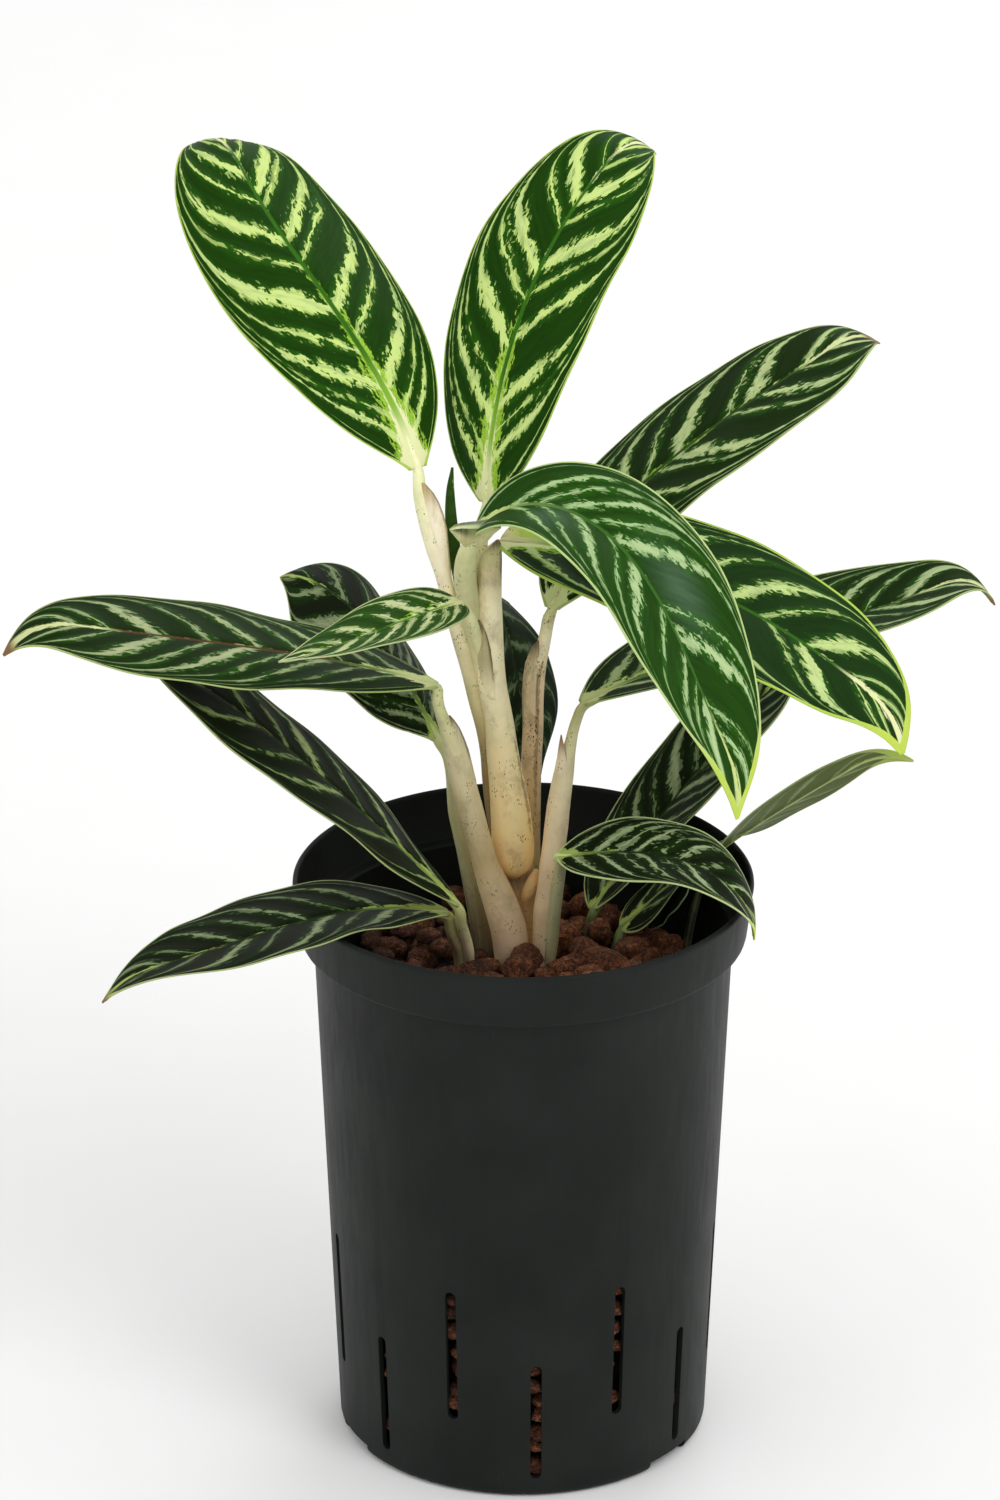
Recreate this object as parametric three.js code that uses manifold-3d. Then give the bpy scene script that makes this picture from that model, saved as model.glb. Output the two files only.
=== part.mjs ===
// A potted ivy green aglaonema: a slotted culture pot filled with clay pebbles, nine stems that root in
// them, sixteen leaf blades and one young rolled leaf.
// Millimetres, +Z up. The origin is on the pot's axis at the level it stands on, the front is -Y.
import * as THREE from 'three';
import { mergeVertices } from 'three/addons/utils/BufferGeometryUtils.js';
import Module from 'manifold-3d';

const wasm = await Module();
wasm.setup();

// Driving dimensions of the pot
const rimRadius = 74;
const potHeight = 193;
const wall = 1.6;
const skirtHeight = 18.5;
const skirtFootRadius = 71.6;
const bodyTopRadius = 67.2;
const baseRadius = 59.8;
const floorLevel = 5;
const channelHeight = 3.5;
const potSides = 48;

// Slots in the wall: every second one sits lower
const slotCount = 14;
const slotWidth = 3.6;
const slotCutFrom = 45;
const lowSlot = { bottom: 7, top: 49, firstAzimuth: 3.9 };
const highSlot = { bottom: 27, top: 74, firstAzimuth: 29.6 };

// Gaps between the three foot arcs, seen from below
const footGapCount = 3;
const footGapWidth = 19;
const firstFootGapAzimuth = 53;

// Clay pebbles
const clayGap = 0.4;
const claySides = 32;
const clayEdgeLevel = 160;
const clayMoundLevel = 166;
const pebbleCount = 84;
const pebbleRadius = { least: 5.6, most: 8.4 };
const pebblesPerSlot = 3;

// Leaf blades and stems
const bladeThickness = 1.2;
const marginThickness = 0.8;
const midribDepth = 0.7;
const seatGap = 0.3;
const stemSides = 8;
const holeGap = 0.35;

// Half width of a blade along its length, as a share of its greatest half width
const bladeOutline = [
  [0, 0.10], [0.04, 0.30], [0.08, 0.47], [0.16, 0.70], [0.25, 0.86], [0.35, 0.96], [0.45, 1],
  [0.55, 0.99], [0.65, 0.92], [0.75, 0.78], [0.83, 0.60], [0.9, 0.38], [0.96, 0.16], [1, 0.05],
];

// Every blade: where it starts, its length and width, and the way its midrib runs. heading is the
// compass angle of the midrib at its base, middle and tip (0 is +X, 90 is away from the front), rise its
// slope, roll its twist from base to tip, fold the V between its halves, arch the drop of the margins,
// curl how far the tip bends back after the share curlFrom, widest where it is broadest.
const leaves = [
  { name: 'leaf_top_left', base: [-33, 8, 331], length: 153, width: 59, heading: [128, 129, 106],
    rise: [60, 32, 45], roll: [18, -5], fold: -4, arch: 0.14, curl: 76, curlFrom: 0.74, widest: 0.51 },
  { name: 'leaf_top', base: [-12, 17, 315.5], length: 149, width: 54, heading: [71, 54, 56],
    rise: [81, 47, 11], roll: [22, -21], fold: 6, arch: 0.11, curl: 51, curlFrom: 0.79, widest: 0.46 },
  { name: 'leaf_right_upper', base: [9, 20, 278], length: 148, width: 50, heading: [62, 17, 53],
    rise: [44, 33, 16], roll: [-6, -12], fold: 7, arch: 0.12, curl: 50, curlFrom: 0.82, widest: 0.49 },
  { name: 'leaf_drooping', base: [-15, -5, 314.5], length: 151, width: 54, heading: [-16, -44, -58],
    rise: [56, -46, -24], roll: [-19, 21], fold: 21, arch: 0.16, curl: 61, curlFrom: 0.81, widest: 0.47 },
  { name: 'leaf_right_middle', base: [-7.5, 8, 306], length: 151, width: 57, heading: [-21, -11, -44],
    rise: [8, -24, -28], roll: [-16, -21], fold: 11, arch: 0.13, curl: 42, curlFrom: 0.82, widest: 0.48 },
  { name: 'leaf_right_back', base: [19, 16, 246.5], length: 149, width: 47, heading: [36, 15, 25],
    rise: [13, 9, 23], roll: [-1, -9], fold: 16, arch: 0.06, curl: 80, curlFrom: 0.82, widest: 0.48 },
  { name: 'leaf_low_back', base: [22.5, 26, 169], length: 115, width: 36, heading: [50, 38, 63],
    rise: [35, 37, 13], roll: [11, -13], fold: 19, arch: 0.06, curl: 28, curlFrom: 0.82, widest: 0.44 },
  { name: 'leaf_low_right', base: [31.5, 16, 167], length: 119, width: 26, heading: [2, -15, 16],
    rise: [48, 39, 29], roll: [-27, 76], fold: 6, arch: 0.12, curl: 53, curlFrom: 0.81, widest: 0.38 },
  { name: 'leaf_low_front', base: [10.5, -17, 208.5], length: 79, width: 33, heading: [-23, -10, -10],
    rise: [15, -12, -87], roll: [-28, 5], fold: 14, arch: 0.13, curl: 4, curlFrom: 0.82, widest: 0.48 },
  { name: 'leaf_left_long', base: [-27, -10, 264.5], length: 142, width: 45, heading: [176, 180, 182],
    rise: [16, 8, 12], roll: [2, 19], fold: 7, arch: 0.15, curl: 63, curlFrom: 0.8, widest: 0.49 },
  { name: 'leaf_left_small', base: [-19.5, -9, 292.5], length: 73, width: 25, heading: [248, 212, 209],
    rise: [20, -7, -1], roll: [26, -10], fold: 14, arch: 0.09, curl: -4, curlFrom: 0.82, widest: 0.46 },
  { name: 'leaf_left_back', base: [-27, 18, 233.5], length: 79, width: 43, heading: [124, 165, 137],
    rise: [41, 51, -15], roll: [-2, 30], fold: -10, arch: 0.2, curl: 13, curlFrom: 0.82, widest: 0.53 },
  { name: 'leaf_left_low', base: [-20.5, -18, 192], length: 135, width: 39, heading: [177, 171, 156],
    rise: [46, 40, 20], roll: [0, 8], fold: 5, arch: 0.13, curl: -6, curlFrom: 0.82, widest: 0.5 },
  { name: 'leaf_left_lowest', base: [-24, -14, 187], length: 125, width: 39, heading: [192, 214, 183],
    rise: [17, -1, -8], roll: [9, -2], fold: 14, arch: 0.12, curl: 40, curlFrom: 0.8, widest: 0.51 },
  { name: 'leaf_centre_back', base: [-8.5, 30, 277.5], length: 64, width: 30, heading: [19, -6, 14],
    rise: [-75, -78, -79], roll: [-35, -63], fold: 0, arch: 0.2, curl: -5, curlFrom: 0.82, widest: 0.49 },
  { name: 'leaf_in_pot', base: [57, 18, 189], length: 28, width: 15, heading: [190, 185, 180],
    rise: [-40, -60, -50], roll: [0, 0], fold: 5, arch: 0.12, curl: 0, curlFrom: 0.82, widest: 0.5 },
];

// The stems. Each run is a route of centre points with the radius there, [x, y, z, radius]; a run with
// a leaf carries on under that blade's midrib.
const stems = [
  { name: 'stem_cane', runs: [
    { route: [[3, 20, 150, 2.6], [2, 18, 174.5, 2.9], [0.5, 16, 184, 4.1], [-2.5, 14, 192, 6.1],
      [-4, 13, 200, 7], [-5.5, 11, 215, 7.2], [-7.5, 9, 230, 6.1], [-8.5, 8, 244.5, 5.6],
      [-10, 7, 259, 5.3], [-11, 6, 273, 5.1], [-11.5, 6, 285, 4.8], [-11, 6, 294, 3.6]] },
    { leaf: 'leaf_right_middle', route: [[-11, 6, 280, 3.5], [-10.5, 5.5, 293, 3.3],
      [-10, 6, 300, 2.6]] },
    { leaf: 'leaf_drooping', route: [[-14.5, 5, 273.5, 4.1], [-17, 3, 286.5, 4.5],
      [-18, 1, 297.5, 4.4], [-17.5, -2.5, 306, 3.2]] },
    { leaf: 'leaf_top', route: [[-12.5, 8, 282.5, 3.2], [-14, 11, 295, 2.9], [-13.5, 15, 306, 2.4]] },
    { leaf: 'leaf_top_left', route: [[-12.5, 8, 225.5, 1.9], [-14.5, 6, 240, 1.9],
      [-17.5, 5, 256.5, 2.5], [-20.5, 5, 273.5, 2.9], [-24, 6, 288.5, 3.2], [-26, 7, 300, 3.8],
      [-29, 7, 311, 4], [-31.5, 7, 321, 3]] },
    { leaf: 'leaf_left_small', route: [[-11.5, 2, 273, 2.2], [-13.5, -4, 282, 2.1],
      [-17, -7.5, 288.5, 1.7]] },
    { leaf: 'leaf_centre_back', route: [[-11, 9, 263, 2.5], [-12, 18, 274, 2.1],
      [-12.8, 26, 280, 1.6]] },
    { leaf: 'young_leaf', route: [[-12, 8, 267, 2], [-16, 10, 275, 1.9], [-19, 11, 281, 1.7]] },
  ] },
  { name: 'stem_left', runs: [
    { leaf: 'leaf_left_long', route: [[-3, 9, 150, 4.2], [-6, 8, 173.5, 5.1], [-8, 5.5, 182.5, 5.4],
      [-10.5, 4, 190, 5.1], [-12, 2.5, 198, 4.9], [-14, 1, 205.5, 4.5], [-15.5, -0.5, 213.5, 4],
      [-17.5, -2, 221, 3.3], [-19, -3.5, 229, 3.3], [-21, -5, 236.5, 3.5], [-23, -6.5, 244, 3.3],
      [-25, -8, 251.5, 2.5], [-26, -9.5, 258, 2]] },
  ] },
  { name: 'stem_left_back', runs: [
    { leaf: 'leaf_left_back', route: [[-12.5, 13, 150, 2.4], [-14.5, 12.5, 172, 2.7],
      [-16, 12.5, 179, 2.9], [-17, 13, 186, 2.9], [-18.5, 13, 193, 2.9], [-20, 13.5, 200, 2.5],
      [-21, 14, 206.5, 2.5], [-22, 15, 213.5, 2.4], [-23, 16, 220, 2.2], [-25, 17, 228, 1.9]] },
  ] },
  { name: 'stem_back', runs: [
    { leaf: 'leaf_right_upper', route: [[7, 24, 150, 2.1], [6, 24, 177, 2.1], [5, 24, 195, 2.4],
      [3.5, 23.5, 209.5, 2.7], [3, 22.5, 220.5, 3.2], [2.5, 22, 231, 3.5], [2.5, 21.5, 245.5, 3.5],
      [3.5, 21, 258, 3.2], [4.5, 20.5, 264, 2.5], [7, 20, 271, 1.9]] },
  ] },
  { name: 'stem_right', runs: [
    { leaf: 'leaf_right_back', route: [[5.5, 6, 150, 3.4], [7, 5.5, 173.5, 3], [7.5, 5, 182.5, 2.6],
      [8, 5, 191.5, 2.8], [9, 5, 200.5, 3.4], [11, 6, 210.5, 3.3], [12, 6.5, 217, 3.3],
      [13, 7, 224, 3.2], [13.5, 8, 230.5, 3], [15, 9.5, 237, 2.4], [17, 13, 242.5, 2]] },
    { leaf: 'leaf_low_front', route: [[7, 3, 160, 1.9], [9.5, 0, 172, 1.9], [10.5, -4, 183.5, 1.8],
      [11, -9, 194.5, 1.8], [10, -14, 202, 1.6]] },
  ] },
  { name: 'stem_low_left', runs: [
    { leaf: 'leaf_left_low', route: [[-16, 0, 150, 1.9], [-17, -3, 165, 1.9], [-17.5, -6, 172, 1.9],
      [-18, -12, 180, 1.9], [-18.5, -16.5, 187, 1.6]] },
    { leaf: 'leaf_left_lowest', route: [[-18, 0, 152, 1.9], [-19.5, -2, 164.5, 1.9],
      [-21.5, -4, 171.5, 1.8], [-23, -8, 178.5, 1.7], [-22.5, -12.5, 183, 1.6]] },
  ] },
  { name: 'stem_low_back', runs: [
    { leaf: 'leaf_low_back', route: [[21, 28, 145, 2.2], [21.5, 25, 156, 2], [21.5, 23.5, 163, 1.8]] },
  ] },
  { name: 'stem_low_right', runs: [
    { leaf: 'leaf_low_right', route: [[29, 18, 146, 2], [29.5, 14, 156, 1.9], [30, 12, 162, 1.7]] },
  ] },
  { name: 'stem_in_pot', runs: [
    { leaf: 'leaf_in_pot', route: [[52, 22, 148, 1.4], [54, 22, 165, 1.4], [57, 20.5, 180, 1.3],
      [58, 18.5, 185.5, 1.2]] },
  ] },
];

// The young leaf: a narrow roll with a pointed tip, [x, y, z, radius]
const youngLeaf = { name: 'young_leaf', route: [[-19.3, 11.2, 282.2, 1.5], [-20.5, 12, 292, 1.9],
  [-22, 12, 303, 2.1], [-23, 12, 315, 1.8], [-23, 12, 323, 1.2], [-22.4, 12, 329.5, 0.5]] };

const materials = {
  pot: new THREE.MeshStandardMaterial({ color: 0x2b2d2c, roughness: 0.55, metalness: 0 }),
  clay: new THREE.MeshStandardMaterial({ color: 0x8a4a30, roughness: 0.95, metalness: 0 }),
  stem: new THREE.MeshStandardMaterial({ color: 0xc9bd94, roughness: 0.6, metalness: 0 }),
  leaf: new THREE.MeshStandardMaterial({ color: 0x24491c, roughness: 0.4, metalness: 0 }),
};

// A repeatable draw between 0 and 1
let drawState = 20717;
function draw() {
  drawState = (drawState * 16807) % 2147483647;
  return drawState / 2147483647;
}

function between(least, most) {
  return least + (most - least) * draw();
}

function solidOf(geometry) {
  const bare = geometry.clone();
  bare.deleteAttribute('normal');
  bare.deleteAttribute('uv');
  const merged = mergeVertices(bare, 1e-4);
  return new wasm.Manifold(new wasm.Mesh({
    numProp: 3,
    vertProperties: new Float32Array(merged.attributes.position.array),
    triVerts: new Uint32Array(merged.index.array),
  }));
}

function geometryOf(solid) {
  const mesh = solid.getMesh();
  const geometry = new THREE.BufferGeometry();
  geometry.setAttribute('position', new THREE.BufferAttribute(new Float32Array(mesh.vertProperties), 3));
  geometry.setIndex(new THREE.BufferAttribute(new Uint32Array(mesh.triVerts), 1));
  return geometry;
}

// A closed body whose cross-sections are rings of points, joined in order and capped at both ends
function ringSolid(rings) {
  const sides = rings[0].length;
  const points = rings.flat();
  const faces = [];
  for (let r = 0; r + 1 < rings.length; r += 1) {
    for (let k = 0; k < sides; k += 1) {
      const a = r * sides + k;
      const b = r * sides + ((k + 1) % sides);
      faces.push(a, b, b + sides, a, b + sides, a + sides);
    }
  }
  const last = (rings.length - 1) * sides;
  for (let k = 1; k + 1 < sides; k += 1) {
    faces.push(0, k + 1, k, last, last + k, last + k + 1);
  }
  const geometry = new THREE.BufferGeometry().setFromPoints(points);
  geometry.setIndex(faces);
  return geometry;
}

function lathe(profile, sides) {
  const points = profile.map(([radius, z]) => new THREE.Vector2(radius, z));
  const geometry = new THREE.LatheGeometry(points, sides);
  return geometry.rotateX(Math.PI / 2);
}

// Azimuth is counted from the front, -Y, towards +X
function aroundPot(azimuth) {
  const angle = THREE.MathUtils.degToRad(azimuth);
  return new THREE.Vector3(Math.sin(angle), -Math.cos(angle), 0);
}

function innerRadius(z) {
  const share = (z - floorLevel) / (potHeight - skirtHeight - floorLevel);
  return baseRadius - wall + (bodyTopRadius - baseRadius) * share;
}

// A stadium-shaped cutter that points outward from the pot's axis
function slotCutter(azimuth, bottom, top) {
  const half = slotWidth / 2;
  const shape = new THREE.Shape();
  shape.moveTo(half, bottom + half);
  shape.lineTo(half, top - half);
  shape.absarc(0, top - half, half, 0, Math.PI, false);
  shape.lineTo(-half, bottom + half);
  shape.absarc(0, bottom + half, half, Math.PI, 2 * Math.PI, false);
  const cutter = new THREE.ExtrudeGeometry(shape, {
    depth: rimRadius - slotCutFrom,
    bevelEnabled: false,
    curveSegments: 3,
  });
  cutter.translate(0, 0, slotCutFrom);
  const outward = aroundPot(azimuth);
  const up = new THREE.Vector3(0, 0, 1);
  const side = new THREE.Vector3().crossVectors(up, outward);
  cutter.applyMatrix4(new THREE.Matrix4().makeBasis(side, up, outward));
  return solidOf(cutter);
}

function slotList() {
  const pitch = 360 / slotCount;
  const slots = [];
  for (let k = 0; k < slotCount; k += 2) {
    slots.push({ ...lowSlot, azimuth: lowSlot.firstAzimuth + pitch * k });
    slots.push({ ...highSlot, azimuth: highSlot.firstAzimuth + pitch * k });
  }
  return slots;
}

function makePot() {
  const skirtFoot = potHeight - skirtHeight;
  const footInner = 52;
  const channelInner = 26;
  const outside = [
    [0, 0], [channelInner, 0], [channelInner + 1.5, channelHeight], [footInner - 1, channelHeight],
    [footInner, 0.6], [footInner + 1, 0], [baseRadius - 3, 0], [baseRadius - 0.9, 0.9],
    [baseRadius, 3], [bodyTopRadius, skirtFoot], [skirtFootRadius, skirtFoot],
    [rimRadius - 0.3, potHeight - 1.2], [rimRadius - 0.7, potHeight],
  ];
  const inside = [
    [rimRadius - 1.8, potHeight], [rimRadius - 2.2, potHeight - 1],
    [skirtFootRadius - wall, skirtFoot + wall], [innerRadius(skirtFoot), skirtFoot + wall],
    [baseRadius - wall - 0.2, floorLevel + 2], [baseRadius - wall - 2, floorLevel], [0, floorLevel],
  ];
  let pot = solidOf(lathe([...outside, ...inside], potSides));
  for (const slot of slotList()) {
    pot = pot.subtract(slotCutter(slot.azimuth, slot.bottom, slot.top));
  }
  for (let k = 0; k < footGapCount; k += 1) {
    const gap = new THREE.BoxGeometry(footGapWidth, 12, channelHeight * 2);
    const outward = aroundPot(firstFootGapAzimuth + (360 / footGapCount) * k);
    gap.rotateZ(Math.atan2(outward.x, -outward.y));
    gap.translate(outward.x * (baseRadius - 2.5), outward.y * (baseRadius - 2.5), 0);
    pot = pot.subtract(solidOf(gap));
  }
  return pot;
}

function clayLevel(radius) {
  const share = Math.min(1, radius / 52);
  return clayMoundLevel + (clayEdgeLevel - clayMoundLevel) * share * share;
}

function pebble(x, y, z, radius) {
  const stone = new THREE.IcosahedronGeometry(radius, 0);
  stone.rotateX(between(0, Math.PI));
  stone.rotateZ(between(0, Math.PI));
  stone.scale(between(0.9, 1.15), between(0.9, 1.15), between(0.75, 0.95));
  stone.translate(x, y, z);
  return solidOf(stone);
}

function makeClay(holes) {
  const coreGap = 3.2;
  const bottom = floorLevel + seatGap;
  const top = clayEdgeLevel;
  const core = solidOf(lathe([
    [0, bottom], [innerRadius(bottom) - coreGap, bottom], [innerRadius(top) - coreGap, top],
    [30, clayLevel(30)], [0, clayLevel(0)],
  ], claySides));
  const liner = solidOf(lathe([
    [0, bottom], [innerRadius(bottom) - 2.2, bottom], [innerRadius(bottom + 3) - clayGap, bottom + 3],
    [innerRadius(top + 12) - clayGap, top + 12], [0, top + 12],
  ], claySides));
  const stones = [];
  const goldenAngle = Math.PI * (3 - Math.sqrt(5));
  const reach = innerRadius(top) - pebbleRadius.least;
  for (let k = 0; k < pebbleCount; k += 1) {
    const radius = reach * Math.sqrt((k + 0.5) / pebbleCount);
    const angle = k * goldenAngle + between(-0.04, 0.04);
    const size = between(pebbleRadius.least, pebbleRadius.most);
    const z = clayLevel(radius) - between(1.6, 3.6);
    stones.push(pebble(radius * Math.cos(angle), radius * Math.sin(angle), z, size));
  }
  for (const slot of slotList()) {
    const outward = aroundPot(slot.azimuth);
    const pitch = (slot.top - slot.bottom) / pebblesPerSlot;
    for (let k = 0; k < pebblesPerSlot; k += 1) {
      const z = slot.bottom + pitch * (k + 0.5);
      const size = between(5.4, 6.6);
      const distance = innerRadius(z) - size * 0.72;
      stones.push(pebble(outward.x * distance, outward.y * distance, z, size));
    }
  }
  const clay = wasm.Manifold.union([core, ...stones]).intersect(liner).subtract(holes);
  const bodies = clay.decompose().sort((a, b) => b.volume() - a.volume());
  return bodies[0];
}

function alongOutline(share) {
  for (let k = 1; k < bladeOutline.length; k += 1) {
    const [t0, w0] = bladeOutline[k - 1];
    const [t1, w1] = bladeOutline[k];
    if (share <= t1) return w0 + ((w1 - w0) * (share - t0)) / (t1 - t0);
  }
  return bladeOutline.at(-1)[1];
}

function throughThree([first, middle, last], t) {
  return first * (1 - t) * (1 - 2 * t) + 4 * middle * t * (1 - t) + last * t * (2 * t - 1);
}

// The midrib's stations from the leaf's base on, each with its point, its side and its upper face's
// direction
const midribSteps = 96;
function midrib(leaf) {
  const stations = [];
  let point = new THREE.Vector3();
  let before = null;
  for (let k = 0; k <= midribSteps; k += 1) {
    const t = k / midribSteps;
    const heading = THREE.MathUtils.degToRad(throughThree(leaf.heading, t));
    const bend = leaf.curl * THREE.MathUtils.smoothstep(t, leaf.curlFrom, 1);
    const rise = THREE.MathUtils.degToRad(throughThree(leaf.rise, t) - bend);
    const roll = THREE.MathUtils.degToRad(THREE.MathUtils.lerp(leaf.roll[0], leaf.roll[1], t));
    const along = new THREE.Vector3(
      Math.cos(rise) * Math.cos(heading), Math.cos(rise) * Math.sin(heading), Math.sin(rise));
    const level = new THREE.Vector3(Math.sin(heading), -Math.cos(heading), 0);
    const upright = new THREE.Vector3().crossVectors(level, along);
    const side = level.clone().multiplyScalar(Math.cos(roll)).addScaledVector(upright, Math.sin(roll));
    const face = upright.clone().multiplyScalar(Math.cos(roll)).addScaledVector(level, -Math.sin(roll));
    if (before) {
      const step = leaf.length / midribSteps / 2;
      point = point.clone().addScaledVector(before, step).addScaledVector(along, step);
    }
    before = along;
    stations.push({ t, point, along, side, face });
  }
  return stations;
}

// One blade: rows of points across the leaf, on its upper and its lower face
const bladeRows = [0, 0.04, 0.1, 0.2, 0.3, 0.4, 0.5, 0.6, 0.7, 0.79, 0.86, 0.92, 0.97, 1];
const bladeColumns = [-1, -0.55, 0, 0.55, 1];
const ribFrom = 0.16;
function makeBlade(leaf) {
  const stations = midrib(leaf);
  const fold = THREE.MathUtils.degToRad(leaf.fold);
  const warp = Math.log(0.48) / Math.log(leaf.widest);
  const rings = bladeRows.map((share) => {
    const { t, point, side, face } = stations[Math.round(share * midribSteps)];
    const half = (alongOutline(t ** warp) * leaf.width) / 2;
    const upper = [];
    const lower = [];
    for (const s of bladeColumns) {
      const across = half * s * Math.cos(fold);
      const lift = half * (Math.abs(s) * Math.sin(fold) - leaf.arch * s * s);
      const slope = Math.sign(s) * Math.sin(fold) - 2 * leaf.arch * s;
      const normal = new THREE.Vector2(-slope, Math.cos(fold)).normalize();
      const skin = THREE.MathUtils.lerp(bladeThickness, marginThickness, Math.abs(s)) / 2;
      const rib = s === 0 && t > ribFrom ? midribDepth * (1 - t) : 0;
      const place = (depth) => point.clone()
        .addScaledVector(side, across + normal.x * depth)
        .addScaledVector(face, lift + normal.y * depth);
      upper.push(place(skin));
      lower.push(place(-skin - rib));
    }
    return { upper, lower };
  });
  const columns = bladeColumns.length;
  const points = rings.flatMap(({ upper, lower }) => [...upper, ...lower]);
  const row = 2 * columns;
  const faces = [];
  for (let r = 0; r + 1 < rings.length; r += 1) {
    const a = r * row;
    const b = a + row;
    for (let c = 0; c + 1 < columns; c += 1) {
      faces.push(a + c, a + c + 1, b + c + 1, a + c, b + c + 1, b + c);
      const d = columns;
      faces.push(a + d + c, b + d + c + 1, a + d + c + 1, a + d + c, b + d + c, b + d + c + 1);
    }
    const right = columns - 1;
    faces.push(a, b, b + columns, a, b + columns, a + columns);
    faces.push(a + right, a + right + columns, b + right + columns);
    faces.push(a + right, b + right + columns, b + right);
  }
  const end = (rings.length - 1) * row;
  for (let c = 0; c + 1 < columns; c += 1) {
    faces.push(c, c + columns, c + columns + 1);
    faces.push(c, c + columns + 1, c + 1);
    faces.push(end + c, end + c + columns + 1, end + c + columns);
    faces.push(end + c, end + c + 1, end + c + columns + 1);
  }
  const geometry = new THREE.BufferGeometry().setFromPoints(points);
  geometry.setIndex(faces);
  return geometry;
}

// The end of a leaf stalk: it runs on under the blade and thins out there
const stalkEnd = [
  { share: 0, radius: 1.5, extraDrop: 0.2 },
  { share: 0.05, radius: 1.1, extraDrop: 0 },
  { share: 0.1, radius: 0.7, extraDrop: 0 },
];
function seatUnder(leaf) {
  const stations = midrib(leaf);
  return stalkEnd.map(({ share, radius, extraDrop }) => {
    const { point, face } = stations[Math.round(share * midribSteps)];
    const drop = bladeThickness / 2 + seatGap + radius + extraDrop;
    const centre = new THREE.Vector3(...leaf.base).add(point).addScaledVector(face, -drop);
    return [centre.x, centre.y, centre.z, radius];
  });
}

// A round body of changing radius along a smooth curve through the route's points
function limb(route, extra = 0) {
  const centres = route.map(([x, y, z]) => new THREE.Vector3(x, y, z));
  const curve = new THREE.CatmullRomCurve3(centres, false, 'centripetal');
  const last = route.length - 1;
  let across = new THREE.Vector3(1, 0, 0);
  const rings = route.map(([, , , radius], k) => {
    const tangent = curve.getTangent(k / last);
    across = across.clone().addScaledVector(tangent, -across.dot(tangent)).normalize();
    const other = new THREE.Vector3().crossVectors(tangent, across);
    return Array.from({ length: stemSides }, (_, j) => {
      const angle = (2 * Math.PI * j) / stemSides;
      return centres[k].clone()
        .addScaledVector(across, (radius + extra) * Math.cos(angle))
        .addScaledVector(other, (radius + extra) * Math.sin(angle));
    });
  });
  return ringSolid(rings);
}

function routeOf(run) {
  const leaf = leaves.find(({ name }) => name === run.leaf);
  return leaf ? [...run.route, ...seatUnder(leaf)] : run.route;
}

function pieceOf(name, geometry, material) {
  const piece = new THREE.Mesh(geometry, material);
  piece.name = name;
  return piece;
}

const holder = new THREE.Group();
holder.name = 'filled_pot';
holder.add(pieceOf('pot', geometryOf(makePot()), materials.pot));

const holes = wasm.Manifold.union(
  stems.flatMap(({ runs }) => runs.map((run) => solidOf(limb(routeOf(run), holeGap)))));
holder.add(pieceOf('clay_pebbles', geometryOf(makeClay(holes)), materials.clay));

const growth = new THREE.Group();
growth.name = 'stems_and_leaves';
for (const { name, runs } of stems) {
  const limbs = runs.map((run) => solidOf(limb(routeOf(run))));
  growth.add(pieceOf(name, geometryOf(wasm.Manifold.union(limbs)), materials.stem));
}

for (const leaf of leaves) {
  const blade = pieceOf(leaf.name, makeBlade(leaf), materials.leaf);
  blade.position.set(...leaf.base);
  growth.add(blade);
}
growth.add(pieceOf(youngLeaf.name, limb(youngLeaf.route), materials.leaf));

const plant = new THREE.Group();
plant.name = 'potted_aglaonema';
plant.add(holder, growth);

export default plant;
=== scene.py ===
"""The looks of a potted ivy green aglaonema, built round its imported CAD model.

Lengths are in millimetres and angles in degrees until a mesh is made, which is in metres. The frame is the
CAD model's: +Z up, the origin on the pot's axis at the level it stands on, the front facing -Y.
"""

import math
import random
from types import SimpleNamespace

import bmesh
import bpy
import numpy as np
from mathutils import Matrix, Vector


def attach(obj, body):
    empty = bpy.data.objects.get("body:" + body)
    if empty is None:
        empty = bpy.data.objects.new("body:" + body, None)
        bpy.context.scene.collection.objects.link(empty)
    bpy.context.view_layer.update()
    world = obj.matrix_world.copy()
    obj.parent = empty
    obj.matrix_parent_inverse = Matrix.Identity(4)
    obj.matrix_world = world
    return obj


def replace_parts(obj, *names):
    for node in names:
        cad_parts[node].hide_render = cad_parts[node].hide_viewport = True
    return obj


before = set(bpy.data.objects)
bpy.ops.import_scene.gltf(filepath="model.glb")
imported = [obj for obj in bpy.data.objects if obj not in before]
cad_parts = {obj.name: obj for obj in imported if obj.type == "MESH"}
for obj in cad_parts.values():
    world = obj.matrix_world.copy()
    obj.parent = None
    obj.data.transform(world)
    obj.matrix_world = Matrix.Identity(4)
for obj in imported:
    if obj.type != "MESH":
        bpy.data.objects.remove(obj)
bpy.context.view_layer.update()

MM = 0.001
BODY = "root"


# Meshes

def new_object(name, points, faces):
    """An object from points in millimetres."""
    mesh = bpy.data.meshes.new(name)
    mesh.from_pydata((np.asarray(points) * MM).tolist(), [], faces)
    made = bpy.data.objects.new(name, mesh)
    bpy.context.scene.collection.objects.link(made)
    return made


def new_piece(name, points, faces, material, slot):
    """A smooth piece of the object. It rides on the one body and takes its finish from the material; the slot
    is not used.
    """
    piece = new_object(name, points, faces)
    piece.data.polygons.foreach_set("use_smooth", [True] * len(faces))
    piece.data.materials.append(material)
    piece.data.update()
    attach(piece, BODY)
    return piece


def put_vectors(piece, name, values):
    """A vector for each vertex, which the materials read by its name."""
    layer = piece.data.attributes.new(name, "FLOAT_VECTOR", "POINT")
    layer.data.foreach_set("vector", np.asarray(values, np.float32).ravel())


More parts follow.
